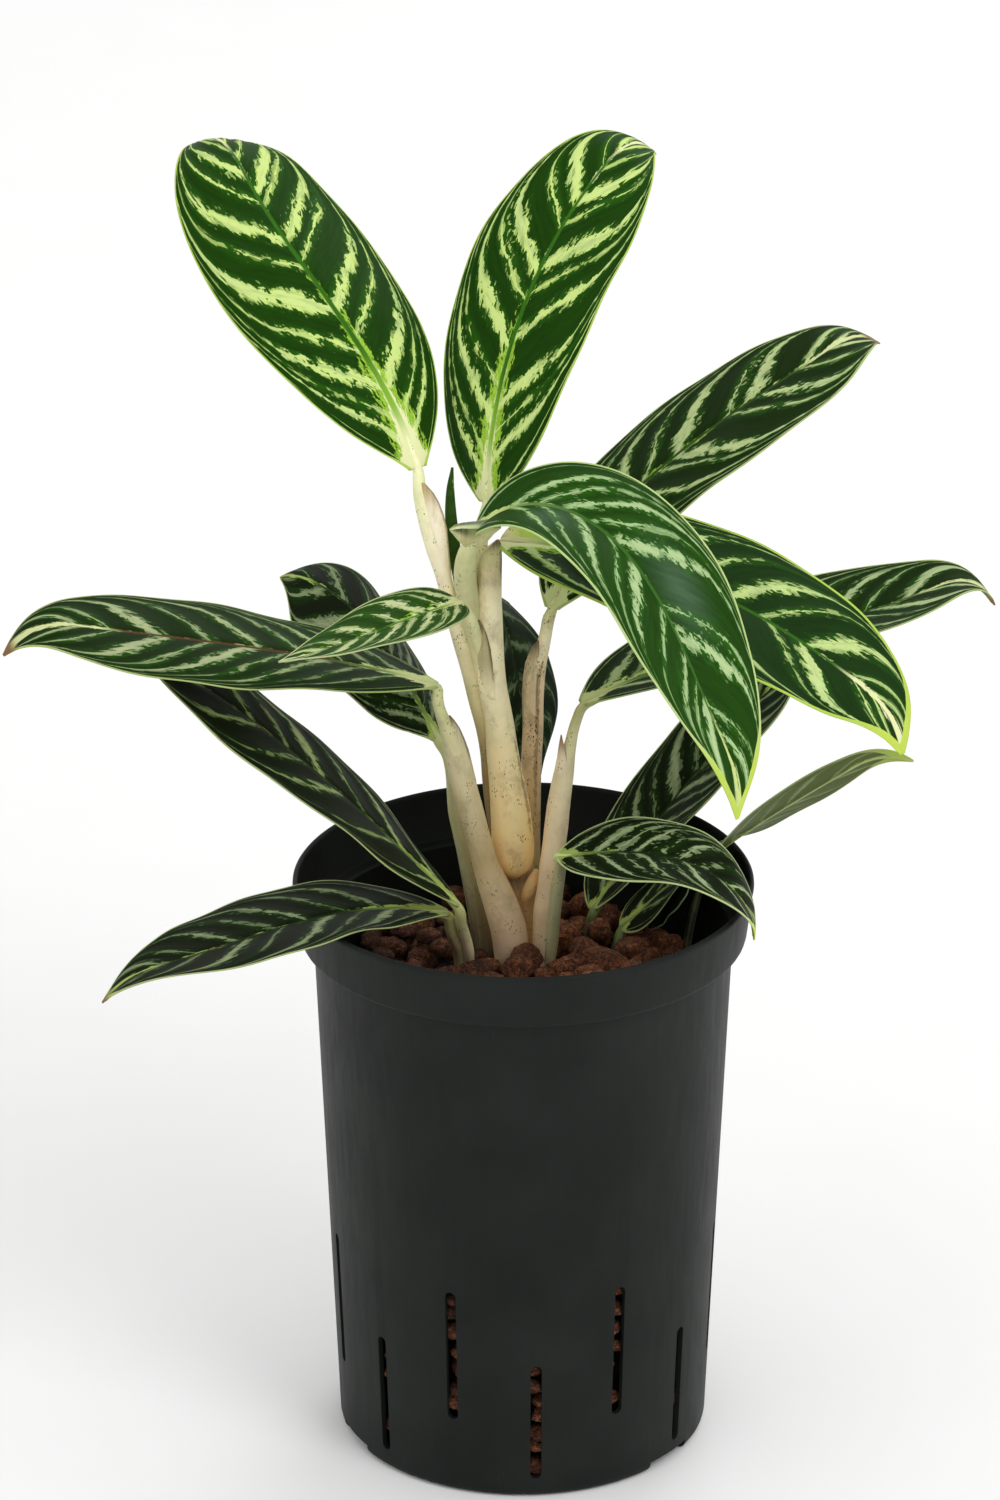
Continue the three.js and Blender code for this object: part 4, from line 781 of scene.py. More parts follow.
LIMBS = {
    "stem_cane": [
        new_limb("leaf_right_middle", specks=0.6, stains=0.9, seam=(-22, 204, 240),
            tones=[(188, 0xB8955C), (196, 0xD2B278), (207, 0xDCC288), (235, 0xD6C496), (250, 0xD4C8A0),
                (285, 0xDDD2AE), (302, 0xB0A078)],
            route=[(-3.4, 11, 188.3, 2.2), (-3.3, 11, 190.8, 4.9), (-3.1, 11, 194, 6.3),
                (-3.3, 11, 198.2, 6.9), (-3.7, 10.5, 204.8, 6.8), (-4.2, 10, 212.1, 6.5),
                (-5, 9.5, 219.4, 6), (-5.9, 9, 226.6, 5.5), (-6.8, 8.5, 233.8, 5.2), (-7.5, 8, 241.1, 4.9),
                (-8.6, 7.5, 249, 4.7), (-9.9, 7, 256, 4.8), (-10.8, 6.5, 264, 4.9), (-11.2, 6, 272, 4.9),
                (-11.1, 6, 280, 4.5), (-10.9, 6, 287, 4), (-10.9, 6, 295, 3.7), (-10.6, 6.5, 301, 3.1)]),
        new_limb(None, specks=0.8, stains=1.3,
            tones=[(150, 0xB89C76), (170, 0xAE9268), (183, 0x94764C), (188, 0x4E3820), (192, 0x9A7C50)],
            route=[(3, 19, 150, 3.6), (1.3, 17, 166.2, 4.4), (0, 15, 176.1, 4.9), (-0.8, 14, 183.7, 5),
                (-1, 13.5, 190, 4.4), (-1.2, 13.2, 195, 3)]),
        new_limb(None, specks=0.3,
            tones=[(179, 0xB8935C), (184, 0xC9AA72), (191, 0xA98A58)],
            route=[(4.3, 9.6, 191.3, 0.7), (3.4, 9, 189, 1.6), (2.2, 8.7, 185.8, 2), (0.9, 9.2, 182.4, 1.7),
                (-0.2, 10.4, 179.1, 0.7)]),
        new_limb("leaf_drooping", specks=0.35,
            tones=[(262, 0xBDB58A), (290, MOSS), (312, 0xC6C792)],
            route=[(-12.5, 6, 258, 2.6), (-13.4, 5.9, 266, 3.2), (-15, 5.5, 275.1, 3.6),
                (-16.9, 4.5, 283.4, 3.7), (-18, 3.5, 291.4, 3.7), (-18.5, 2.5, 298, 3.6),
                (-18.1, 1, 303, 3.3), (-17, -1.5, 308, 2.7)]),
        new_limb("leaf_top",
            tones=[(280, MOSS), (300, 0xC9C79A), (315, 0xD3DA9A)],
            route=[(-13, 8, 278, 2.6), (-14, 10, 288, 2.8), (-14, 12.5, 298, 2.7),
                (-13.3, 15.3, 307, 2.3)]),
        new_limb("leaf_top_left", specks=0.15,
            tones=[(200, 0x5E4A2A), (230, 0x8A7448), (250, 0xB5A877), (270, 0xC9BE95), (300, 0xDDD3B4),
                (325, 0xD3D3A4)],
            route=[(-8.7, 13, 200.1, 1.5), (-10.3, 12, 211.2, 1.7), (-11.3, 11, 222.2, 1.8),
                (-11.9, 10, 232.5, 1.9), (-13, 8.5, 240.8, 2), (-15.2, 7, 251.9, 2.3),
                (-17.3, 6, 262.8, 2.5), (-19.9, 5.5, 273.4, 2.6), (-22.3, 5.7, 283, 2.5),
                (-24.3, 6, 291, 2.4), (-25.7, 6, 297.2, 2.6), (-27.6, 6.5, 303.8, 2.9),
                (-29.4, 7, 310.4, 2.9), (-31.3, 7, 317.2, 2.5), (-32.6, 7.4, 323.5, 2.1)]),
        new_limb("leaf_left_small",
            tones=[(265, MOSS), (292, 0xD0D09A)],
            route=[(-13.5, 4.5, 268, 1.6), (-14.8, 1.5, 276, 1.7), (-16.2, -2.5, 283, 1.7),
                (-17.8, -6.5, 288.5, 1.5)]),
        new_limb("leaf_centre_back",
            tones=[(260, MOSS), (280, 0x6F7650)],
            route=[(-11, 8, 262, 2.2), (-12, 16, 272.5, 2), (-12.8, 25, 280, 1.6)]),
        new_limb(None, specks=0.1,
            tones=[(260, MOSS), (285, 0x7C8C4C)],
            route=[(-13, 7.5, 266, 1.6), (-16.4, 9.6, 274.5, 1.7), (-19.1, 11, 281.5, 1.6)]),
    ],
    "stem_left": [
        new_limb("leaf_left_long", specks=0.45, stains=0.7,
            tones=[(160, 0xC4A888), (180, 0xC6AC8A), (200, 0xAE986E), (235, 0xB8AC86), (247, 0xB0AA7E),
                (256, 0xAFB07E)],
            route=[(-3.9, 9, 150, 5.4), (-4, 8, 161.6, 5.6), (-4.7, 6, 171.5, 5.9), (-6.5, 4.5, 179.3, 5.7),
                (-8.9, 3.5, 186.9, 5.2), (-11.3, 2.5, 194.4, 4.5), (-13.3, 1.5, 202, 4.2),
                (-15.1, 0, 209.7, 4.1), (-16.7, -1.5, 217.4, 4.1), (-18.5, -3, 225.1, 4.1),
                (-20.1, -4, 232.6, 4), (-21.4, -5, 238.6, 3.7), (-22.6, -6, 243.2, 3.3),
                (-23.9, -7, 247.8, 2.7), (-25.3, -8, 251.7, 2.2), (-26.4, -9, 255.6, 1.9),
                (-27.2, -9.6, 259.6, 1.9)]),
    ],
    "stem_left_back": [
        new_limb("leaf_left_back", specks=0.5,
            tones=[(160, 0x4A3E28), (175, 0x6E6244), (195, 0x87825C), (215, 0x979266), (232, 0x9FA468)],
            route=[(-12, 13, 150, 2.8), (-12.6, 13, 160, 3), (-13.5, 13, 168.1, 3.3),
                (-14.7, 13, 176.7, 3.4), (-15.8, 13, 183.5, 3.4), (-17, 13, 189.5, 3.2),
                (-18.4, 13, 196.6, 3), (-20.2, 13, 203.7, 2.6), (-21.6, 13.5, 209.1, 2.3),
                (-22.4, 14, 217.3, 2.1), (-23.1, 14.7, 224.1, 1.9), (-24.4, 16, 229, 1.8)]),
    ],
    "stem_back": [
        new_limb("leaf_right_upper", specks=1.15, stains=1.2, seam=(-65, 205, 262),
            tones=[(165, 0x7C6644), (190, 0x9A8058), (215, 0xB09872), (240, 0xC0A884), (256, 0xC8B48E),
                (266, 0xD8CCAE), (276, 0xBAB882)],
            route=[(3, 24, 150, 2.2), (2.9, 24, 162.8, 2.5), (2.7, 24, 187.9, 2.9), (2.5, 23.5, 198.8, 3.1),
                (2.5, 23, 209.6, 3.2), (2.5, 22.5, 220.5, 3.35), (2.7, 22.4, 227.5, 3.4),
                (3, 22, 234.7, 3.4), (3.1, 22, 245.9, 3.4), (3.7, 21.5, 254.5, 3.3), (4.6, 21, 258.9, 2.9),
                (5.8, 21, 263.1, 2.4), (6.7, 20.5, 267, 2.1), (7.4, 20.3, 271, 2), (8, 20, 274.5, 2)]),
    ],
    "stem_right": [
        new_limb("leaf_right_back", specks=0.3,
            tones=[(165, 0xBCA482), (180, 0xC8B08C), (200, 0xD4BE9C), (225, 0xCBBC98), (238, 0xB4AF84),
                (246, 0xA5A070)],
            route=[(5.5, 7, 150, 3), (6.1, 7, 162.1, 3.2), (6.4, 6.5, 171.2, 3.4), (6.8, 6, 178.6, 3.6),
                (7.9, 6, 185.7, 3.6), (8.9, 5.5, 194.8, 3.7), (9.7, 5.5, 200.8, 3.8), (10.5, 6, 206.9, 3.8),
                (11.3, 6, 214, 3.6), (12.2, 6.5, 220.8, 3.4), (13.2, 7, 227.5, 3.1),
                (14.1, 7.5, 232.2, 2.5), (15, 8, 236.2, 2), (15.8, 9, 239.9, 1.8), (17, 11, 243.3, 1.7)]),
        new_limb("leaf_low_front",
            tones=[(165, 0x8E8A66), (195, 0xA3A47A), (206, 0xB0B67C)],
            route=[(8, 5.5, 158, 2), (9.1, 4.4, 168, 2.2), (9.8, 3.4, 178, 2.25), (10.7, 2.4, 187, 2.2),
                (11.6, 1.2, 194, 2), (12.2, -2.5, 200, 1.8), (11.9, -9, 204.5, 1.6),
                (11.2, -14.3, 206.6, 1.5)]),
    ],
    "stem_low_left": [
        new_limb("leaf_left_low",
            tones=[(155, 0xB0A080), (172, 0xCCBC98), (182, 0xB4B480), (190, 0x9FA465)],
            route=[(-17.4, 0, 152, 1.8), (-17.5, -1, 164.2, 1.9), (-17.7, -5, 170, 1.9),
                (-18.6, -9, 176.2, 1.9), (-19.8, -13.5, 182.6, 1.9)]),
        new_limb("leaf_left_lowest",
            tones=[(155, 0x84764E), (175, 0x948660), (186, 0x98985C)],
            route=[(-20.2, 0, 152, 1.8), (-20.3, -1, 163.5, 1.9), (-20.6, -4, 169.2, 2),
                (-21.8, -8, 174.7, 2), (-23, -11.2, 180, 2)]),
    ],
    "stem_low_back": [
        new_limb("leaf_low_back",
            tones=[(150, 0x1E2614), (164, 0x2A3A1A), (169, 0x4A6228)],
            route=[(21, 28, 145, 2.2), (21.5, 26, 156, 2), (21.8, 25.5, 163, 1.8)]),
    ],
    "stem_low_right": [
        new_limb("leaf_low_right",
            tones=[(150, 0x1E2614), (162, 0x2A3A1A), (167, 0x4A6228)],
            route=[(29, 18, 146, 2), (29.8, 15.5, 156, 1.9), (30.6, 15, 162, 1.7)]),
    ],
    "stem_in_pot": [
        new_limb("leaf_in_pot",
            tones=[(150, 0x15180E), (188, 0x202A16)],
            route=[(52, 22, 148, 1.4), (54, 22, 165, 1.4), (57, 20.5, 180, 1.3), (58, 18.5, 185.5, 1.2)]),
    ],
}

# A sheath is the dried free end of a leaf stalk's wrapping, with the colours of its tip, body and margin.
# Each row, from the tip down, is its height, its left and right edge as (x, y) and how far it bulges to the
# front.
SHEATHS = {
    "stem_cane": [
        {"tones": (0x9C8458, 0xDFD4BC), "margin": 0x9A7B55, "rows": [
            (327.3, (-32.3, 6.4), (-32, 6.6), 0.2), (325.6, (-32, 5.9), (-30.4, 6.8), 0.5),
            (323, (-31.7, 5.6), (-28.2, 6.6), 0.8), (320, (-31.1, 5.2), (-26.6, 6.5), 1.2),
            (315.8, (-30.4, 4.9), (-25.1, 6.5), 1.6), (311, (-29.4, 4.8), (-24, 6.3), 1.8),
            (305, (-28.2, 4.6), (-23.5, 6), 1.7), (298, (-26.9, 4.5), (-22.9, 5.8), 1.5),
            (291, (-25.6, 4.6), (-22.2, 5.8), 1.2), (281, (-23.2, 4.6), (-20.3, 5.6), 0.8),
            (274, (-21.4, 4.9), (-18.9, 5.8), 0.3)]},
        {"tones": (0x5E4A2C, 0x9A9064), "margin": 0x54401F, "rows": [
            (281.8, (-14.3, 1.7), (-13.9, 1.6), 0.1), (279.6, (-15.2, 2.2), (-12.7, 1.3), 0.4),
            (276.7, (-16.3, 4), (-11.5, 0.9), 0.9), (272.6, (-16.9, 5.6), (-10.5, 0.8), 1.9),
            (267.8, (-16.5, 6), (-9.9, 0.9), 2.3), (261, (-15.6, 6), (-9.3, 1.4), 2),
            (254, (-14.3, 6), (-8.8, 2.3), 1.2)]},
        {"tones": (0x5A4630, 0xB4AC7C), "margin": 0x4F3B26, "rows": [
            (307.9, (-8.8, 4.6), (-7.9, 5.2), 0.3), (306.4, (-10.2, 3.9), (-7.2, 5.4), 0.7),
            (304, (-12.3, 3.7), (-6.9, 5.6), 1.4), (300.5, (-13.9, 4.2), (-6.8, 5.8), 2.2),
            (295, (-14.6, 4.8), (-6.9, 6), 2.6), (287, (-14.7, 5.2), (-6.9, 6.2), 2.2)]},
    ],
    "stem_left": [
        {"tones": (0x5B4426, 0xB5A684), "margin": 0x4E3A24, "rows": [
            (253.4, (-23.5, -8.6), (-23.1, -8.5), 0.1), (251.4, (-23.7, -8.6), (-21.7, -8), 0.5),
            (248.6, (-23.7, -8.8), (-20.2, -7.2), 0.9), (244.4, (-23.4, -8.6), (-18.7, -5.9), 1.5),
            (240, (-22.8, -7.8), (-17.4, -4.8), 1.7), (234.8, (-21.7, -6.6), (-16.3, -3.9), 1.6),
            (228, (-20, -5.2), (-14.9, -2.9), 1)]},
    ],
    "stem_back": [
        {"tones": (0x4F3A22, 0xBAA886), "margin": 0x6A5236, "rows": [
            (267, (4.5, 19.4), (5.1, 19.2), 0.1), (265, (3, 20), (5.2, 18.9), 0.4),
            (262, (1.7, 20.8), (5.1, 18.6), 0.8), (258.5, (0.6, 21.3), (4.9, 18.3), 1.2),
            (253.6, (-0.1, 21.6), (4.6, 18.2), 1.5), (247.3, (-0.5, 21.8), (4.4, 18.3), 1.5),
            (240, (-0.3, 22), (4.1, 18.8), 1.1), (232, (0, 22.2), (3.8, 19.5), 0.4)]},
    ],
    "stem_right": [
        {"tones": (0x7A5030, 0xD2C1A2), "margin": 0xA68C66, "rows": [
            (240, (11.8, 6.2), (12.2, 6.2), 0.1), (237.6, (11.4, 6), (12.7, 5.8), 0.3),
            (235, (11, 5.9), (13.3, 5.4), 0.6), (232.3, (10.7, 6), (13.8, 5), 0.9),
            (227.6, (9.8, 6), (13.8, 4.6), 1.2), (222.4, (8.7, 6.2), (13.2, 4.2), 1.4),
            (215.3, (7.5, 6.2), (12.2, 3.8), 1.5), (208, (6.7, 6.3), (11.2, 3.6), 1.2),
            (200, (6, 6.5), (10, 3.6), 0.5)]},
    ],
}

# Parts of the drooping leaf's base that are curled: the fan of its stalk, the lobe folded over that fan and
# the lime underside beside it. Each row runs between two points and holds the colours at both.
FLAPS = {
    "stem_cane": [
        {"bulge": 0.6, "rows": [
            ((-23, -8, 316.8), (-23, -8, 316.3), 0xB7BC82, 0xC9CC94),
            ((-21.5, -8.3, 317.5), (-21.5, -6.5, 313.7), 0x3E4A22, 0xC2C488),
            ((-19.9, -8.5, 317.8), (-20, -5, 311.1), 0x36421E, 0xC9C692),
            ((-18, -8.6, 317.7), (-18.1, -4, 308.9), 0x3E4824, 0xBEB884),
            ((-15.6, -8.6, 317.5), (-15.6, -3.6, 308.1), 0x7E8450, 0xB9B27E),
            ((-13.1, -8.4, 317.4), (-13.1, -4, 309.3), 0xA7AC70, 0xC2BC88),
            ((-11.2, -8.2, 317.5), (-11.2, -5, 311.7), 0xB2B67C, 0xBFBC86),
            ((-9.3, -8, 317.6), (-9.3, -6.5, 314.7), 0xA7AE72, 0xBDBE86),
            ((-7.1, -8, 317.9), (-7.1, -7.8, 317.2), 0x8E9A5C, 0xA7AE72)]},
        {"bulge": 0.3, "rows": [
            ((-23.2, -8.4, 317.1), (-23.2, -8.4, 316.7), 0xA9B578, 0xC6CE9A),
            ((-21.5, -8, 318.4), (-21.5, -9, 317.3), 0x5F6E42, 0xC6CE9A),
            ((-19.3, -7.5, 318.8), (-19.3, -9.2, 317.7), 0x3F4D30, 0xB9C28E),
            ((-16.8, -7, 318.9), (-16.8, -9.4, 317.7), 0x46543A, 0xAFBB88),
            ((-13.7, -6.5, 319), (-13.7, -9.4, 317.7), 0x4C5C40, 0x93A372),
            ((-10.6, -6.5, 319.7), (-10.6, -9.4, 318), 0x4A5A3E, 0x7E9062),
            ((-7.4, -7, 320.7), (-7.4, -9.4, 318.7), 0x44553A, 0x6E8256),
            ((-4.9, -8, 322), (-4.9, -9.6, 320.1), 0x40523A, 0x6A7E56),
            ((-2.5, -9, 323.1), (-2.5, -9.8, 321.5), 0x3E5238, 0x62784E)]},
        {"bulge": -0.8, "rows": [
            ((-6.8, -10, 315.5), (-6.8, -10, 315), 0xC9BE94, 0xC9BE94),
            ((-5.6, -11, 317.7), (-5.6, -10, 315.1), 0xCFC79C, 0xC6BC8E),
            ((-4, -12, 319.8), (-4, -10.5, 315.4), 0xB4BC66, 0xC0C27A),
            ((-2.1, -13, 321.5), (-2.1, -11, 315.8), 0x96AE34, 0xB2BE58),
            ((-0.3, -14, 322.6), (-0.3, -11.5, 315.8), 0x8AAA22, 0xA4BC3C),
            ((1.9, -15, 323.2), (1.9, -12, 315.7), 0x84A61C, 0x9CBA2E),
            ((4.1, -16, 323.1), (4.1, -12.5, 315.4), 0x7C9E1A, 0x94B428),
            ((6.2, -17, 322.2), (6.3, -13, 315), 0x6E9018, 0x88AA22),
            ((8.1, -18, 320.6), (8.1, -14, 314.9), 0x608216, 0x789A1E),
            ((10, -19, 318.3), (10, -16, 315.4), 0x527214, 0x688A1A)]},
    ],
}
YOUNG_LEAF = [
    (-19.3, 11.2, 282.2, 1.5), (-20.5, 12, 292, 1.9), (-22, 12, 303, 2.1), (-23, 12, 315, 1.8),
    (-23, 12, 323, 1.2), (-22.4, 12, 329.5, 0.4),
]


# Stems

STEM_SIDES = 30
RING_STEP = 1.2
LEAST_RINGS = 6
LEAST_RADIUS = 0.25
STEM_SEED_STEP = 5.3
# The stems stand in the shade of the leaves and the pot, so their own colours are lighter than they look
# there: heights and how many times lighter
STEM_GAINS = ((160, 190, 230), (1.9, 1.75, 1.55))
SHEATH_TIP_GAIN = 1.5
FLAP_GAIN = 1.35
FLAP_SKIN = 0.4
SEAM_WIDTH = 0.22
SEAM_FADE = 8

# How thick the specks and stains lie on sheaths and flaps, which have no seam
SHEATH_MARKS = (0.5, 0.8, 0)
FLAP_MARKS = (0.3, 0.5, 0)

# Where a leaf stalk runs on in the keel under the blade: shares of the length, radii and how far it drops
KEEL_SHARES = (0, 0.03, 0.07, 0.12)
KEEL_RADII = (1.6, 1.2, 0.8, 0.4)
KEEL_DROPS = (0.9, 0.9, 0.8, 0.7)


def under_blade(name):
    """The last points of a leaf stalk, which grows into the keel under the blade."""
    leaf = next(leaf for leaf in LEAVES if leaf["name"] == name)
    t = np.linspace(0, KEEL_SHARES[-1], 37)
    point, _, face = midrib(leaf, t)
    places = []
    for share, radius, drop in zip(KEEL_SHARES, KEEL_RADII, KEEL_DROPS):
        k = int(np.argmin(np.abs(t - share)))
        places.append((*(point[k] - face[k] * drop), radius))
    return places


def smooth_route(points):
    """Lengths, centres and radii every RING_STEP along a smooth curve through the route's points."""
    p = np.array(points, float)
    gaps = np.linalg.norm(np.diff(p[:, :3], axis=0), axis=1)
    knots = np.concatenate([[0], np.cumsum(gaps)])
    length = np.linspace(0, knots[-1], max(LEAST_RINGS, int(knots[-1] / RING_STEP)))
    curve = curve_through(knots, p, length)
    return length, curve[:, :3], np.maximum(curve[:, 3], LEAST_RADIUS)


def ring_frames(centres):
    """Two directions across the route at each ring, which turn as little as they can."""
    tangent = np.gradient(centres, axis=0)
    tangent /= np.linalg.norm(tangent, axis=1)[:, None]
    first = np.zeros_like(centres)
    across = np.array([1.0, 0, 0])
    for k, along in enumerate(tangent):
        across = across - along * np.dot(across, along)
        across /= np.linalg.norm(across)
        first[k] = across
    return first, np.cross(tangent, first)


def limb_mesh(route, seed):
    """Points, faces, stalk values, shares of the length and turns round it of one closed round limb."""
    length, centres, radii = smooth_route(route)
    first, second = ring_frames(centres)
    rng = random.Random(seed)
    turn = np.linspace(0, 2 * math.pi, STEM_SIDES, endpoint=False)
    n = len(length)
    uneven = np.ones((n, STEM_SIDES))
    for lobes in (2, 3, 5):
        phase = rng.uniform(0, 6.3) + np.sin(length / rng.uniform(18, 30))[:, None] * 0.6
        uneven += 0.05 / lobes * np.cos(lobes * turn[None] + phase)
    r = radii[:, None] * uneven
    ring = (centres[:, None] + first[:, None] * (r * np.cos(turn))[..., None]
            + second[:, None] * (r * np.sin(turn))[..., None])
    index = np.arange(n * STEM_SIDES).reshape(n, STEM_SIDES)
    after = np.roll(index, -1, axis=1)
    walls = np.stack([index[:-1], after[:-1], after[1:], index[1:]], -1).reshape(-1, 4).tolist()
    caps = [index[0][::-1].tolist(), index[-1].tolist()]
    wound = 1 - np.abs(turn / math.pi - 1)
    level = np.ones_like(r)
    stalk = np.stack([radii[:, None] * wound, length[:, None] * level, seed * STEM_SEED_STEP * level], -1)
    share = (length / length[-1])[:, None] * level
    return ring.reshape(-1, 3), walls + caps, stalk.reshape(-1, 3), share.ravel(), np.tile(turn, n)


def sheath_mesh(rows, seed):
    """Points, faces, stalk values and (across, along) shares of a thin curved shell."""
    heights = np.array([row[0] for row in rows])
    edges = np.array([(*row[1], *row[2], row[3]) for row in rows])
    z = np.concatenate([np.linspace(heights[k], heights[k + 1], 5)[:-1] for k in range(len(rows) - 1)]
                       + [heights[-1:]])
    left_x, left_y, right_x, right_y, bulge = [np.interp(-z, -heights, column)[:, None] for column in edges.T]
    u = np.linspace(0, 1, 17)
    profile = 1 - (2 * u - 1) ** 2
    x = left_x * (1 - u) + right_x * u
    y = left_y * (1 - u) + right_y * u - bulge * profile
    level = np.ones_like(x)
    front = np.stack([x, y, z[:, None] * level], -1)
    skin = 0.25 + 0.35 * profile
    points, faces = thin_shell(front, front + np.array([0, 1, 0]) * skin[None, :, None])
    down = (heights[0] - z)[:, None] * level
    stalk = np.stack([x, down, seed * STEM_SEED_STEP * level], -1)
    share = np.stack([u * level, down / (heights[0] - heights[-1])], -1)
    return points, faces, twice(stalk), twice(share)


def flap_mesh(flap, seed):
    """Points, faces, stalk values and tones of a small curled part between two edges."""
    edges = np.array([(*first, *second) for first, second, _, _ in flap["rows"]])
    tones = np.array([(*srgb(first), *srgb(second)) for _, _, first, second in flap["rows"]])
    given = np.arange(len(edges))
    rows = np.linspace(0, given[-1], 5 * given[-1] + 1)
    edges, tones = [np.stack([np.interp(rows, given, column) for column in table.T], -1)[:, None]
                    for table in (edges, tones)]
    u = np.linspace(0, 1, 13)[:, None]
    profile = 1 - (2 * u - 1) ** 2
    front = edges[..., :3] * (1 - u) + edges[..., 3:] * u + np.array([0, -flap["bulge"], 0]) * profile
    points, faces = thin_shell(front, front + np.array([0, FLAP_SKIN, 0]))
    faded = smoothstep(0.15, 0.6, u)
    tone = (tones[..., :3] * (1 - faded) + tones[..., 3:] * faded) * FLAP_GAIN
    x = front[..., 0]
    stalk = np.stack([x, np.zeros_like(x), np.full_like(x, seed * STEM_SEED_STEP)], -1)
    return points, faces, twice(stalk), twice(tone)


def tone_by_height(tones, z):
    heights = [height for height, _ in tones]
    colours = np.array([srgb(code) for _, code in tones])
    gain = np.interp(z, *STEM_GAINS)[:, None]
    return np.stack([np.interp(z, heights, channel) for channel in colours.T], -1) * gain


def seam_strength(seam, turn, z):
    if seam is None:
        return np.zeros_like(z)
    seam_turn, low, high = seam
    off_seam = (turn - math.radians(seam_turn) + math.pi) % (2 * math.pi) - math.pi
    strength = np.exp(-((off_seam / SEAM_WIDTH) ** 2)) * smoothstep(low - SEAM_FADE, low + SEAM_FADE, z)
    return strength * (1 - smoothstep(high - SEAM_FADE, high + SEAM_FADE, z))


def sheath_tone(sheath, limb, z, across, along):
    """Dry at the tip and along the margin, and merging into the limb below."""
    tip, body = [srgb(code) * SHEATH_TIP_GAIN for code in sheath["tones"]]
    tone = blend(body, tip, 1 - smoothstep(0.02, 0.22, along))
    tone = blend(tone, tone_by_height(limb["tones"], z), smoothstep(0.45, 0.95, along))
    edge = smoothstep(0.86, 0.98, across) * (1 - smoothstep(0.5, 0.85, along))
    return blend(tone, srgb(sheath["margin"]), edge)


class Joined:
    """Closed bodies with a row of values for each of their points, which become one mesh."""

    def __init__(self, *names):
        self.points, self.faces, self.total = [], [], 0
        self.values = {name: [] for name in names}

    def add(self, points, faces, *rows):
        self.faces.extend([[v + self.total for v in face] for face in faces])
        self.total += len(points)
        self.points.append(points)
        for values, row in zip(self.values.values(), rows):
            values.append(np.broadcast_to(row, (len(points), 3)))

    def piece(self, name, material, slot):
        made = new_piece(name, np.concatenate(self.points), self.faces, material, slot)
        for key, values in self.values.items():
            put = put_colours if key == "tone" else put_vectors
            put(made, key, np.concatenate(values))
        return made


def build_stem(name, limbs, material):
    skin = Joined("stalk", "marks", "tone")
    for number, limb in enumerate(limbs):
        route = limb["route"] + (under_blade(limb["leaf"]) if limb["leaf"] else [])
        ring, faces, stalk, _, turn = limb_mesh(route, number + len(name))
        z = ring[:, 2]
        marks = np.column_stack([np.full_like(z, limb["specks"]), np.full_like(z, limb["stains"]),
                                 seam_strength(limb["seam"], turn, z)])
        skin.add(ring, faces, stalk, marks, tone_by_height(limb["tones"], z))
    for number, sheath in enumerate(SHEATHS.get(name, [])):
        shell, faces, stalk, share = sheath_mesh(sheath["rows"], number + 31)
        skin.add(shell, faces, stalk, SHEATH_MARKS, sheath_tone(sheath, limbs[0], shell[:, 2], *share.T))
    for number, flap in enumerate(FLAPS.get(name, [])):
        shell, faces, stalk, tone = flap_mesh(flap, number + 51)
        skin.add(shell, faces, stalk, FLAP_MARKS, tone)
    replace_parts(skin.piece(name + "_skin", material, "stem"), name)


def build_young_leaf(material):
    """The newest leaf, still rolled up: plain green, without bands, midrib or margin."""
    points, faces, stalk, share, _ = limb_mesh(YOUNG_LEAF, 9)
    piece = new_piece("young_leaf_roll", points, faces, material, "leaf")
    vein = np.column_stack([stalk[:, 0] * 3, stalk[:, 1], np.full_like(share, 91)])
    steady = {"left": (0.3, 30, 0.2), "right": (0.3, 30, 0.2), "accent": (0, 0, -5), "glow": (-3, -3, -3)}
    put_vectors(piece, "vein", vein)
    put_vectors(piece, "flat", vein)
    put_vectors(piece, "place", np.column_stack([np.full_like(share, 0.5), share, np.ones_like(share)]))
    for name, values in steady.items():
        put_vectors(piece, name, np.broadcast_to(values, points.shape))
    for name, code in YOUNG_COLOURS.items():
        put_colours(piece, name, np.broadcast_to(srgb(code), points.shape))
    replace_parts(piece, "young_leaf")


# Pot

RIM_RADIUS = 74
POT_HEIGHT = 193
WALL = 1.6
SKIRT_HEIGHT = 18.5
SKIRT_FOOT_RADIUS = 71.6
BODY_TOP_RADIUS = 67.2
BASE_RADIUS = 59.8
FOOT_INNER_RADIUS = 52
CHANNEL_INNER_RADIUS = 26
FLOOR_LEVEL = 5
CHANNEL_HEIGHT = 3.5
POT_SIDES = 168
SHARP_ANGLE = 40
SLOT_COUNT = 14
SLOT_WIDTH = 3.6
SLOT_ARC = 8
SLOT_CUT = (50, 80)
# The low slots and the high ones between them: bottom, top and the first one's azimuth
LOW_SLOT = (7, 49, 3.9)
HIGH_SLOT = (27, 74, 29.6)
FOOT_GAPS = 3
FOOT_GAP_WIDTH = 19
FOOT_GAP_DEPTH = 6
FIRST_FOOT_GAP = 53


def around_pot(azimuth):
    """Azimuth is counted from the front, -Y, towards +X."""
    angle = math.radians(azimuth)
    return np.array([math.sin(angle), -math.cos(angle), 0])


def inner_radius(z):
    share = (z - FLOOR_LEVEL) / (POT_HEIGHT - SKIRT_HEIGHT - FLOOR_LEVEL)
    return BASE_RADIUS - WALL + (BODY_TOP_RADIUS - BASE_RADIUS) * share


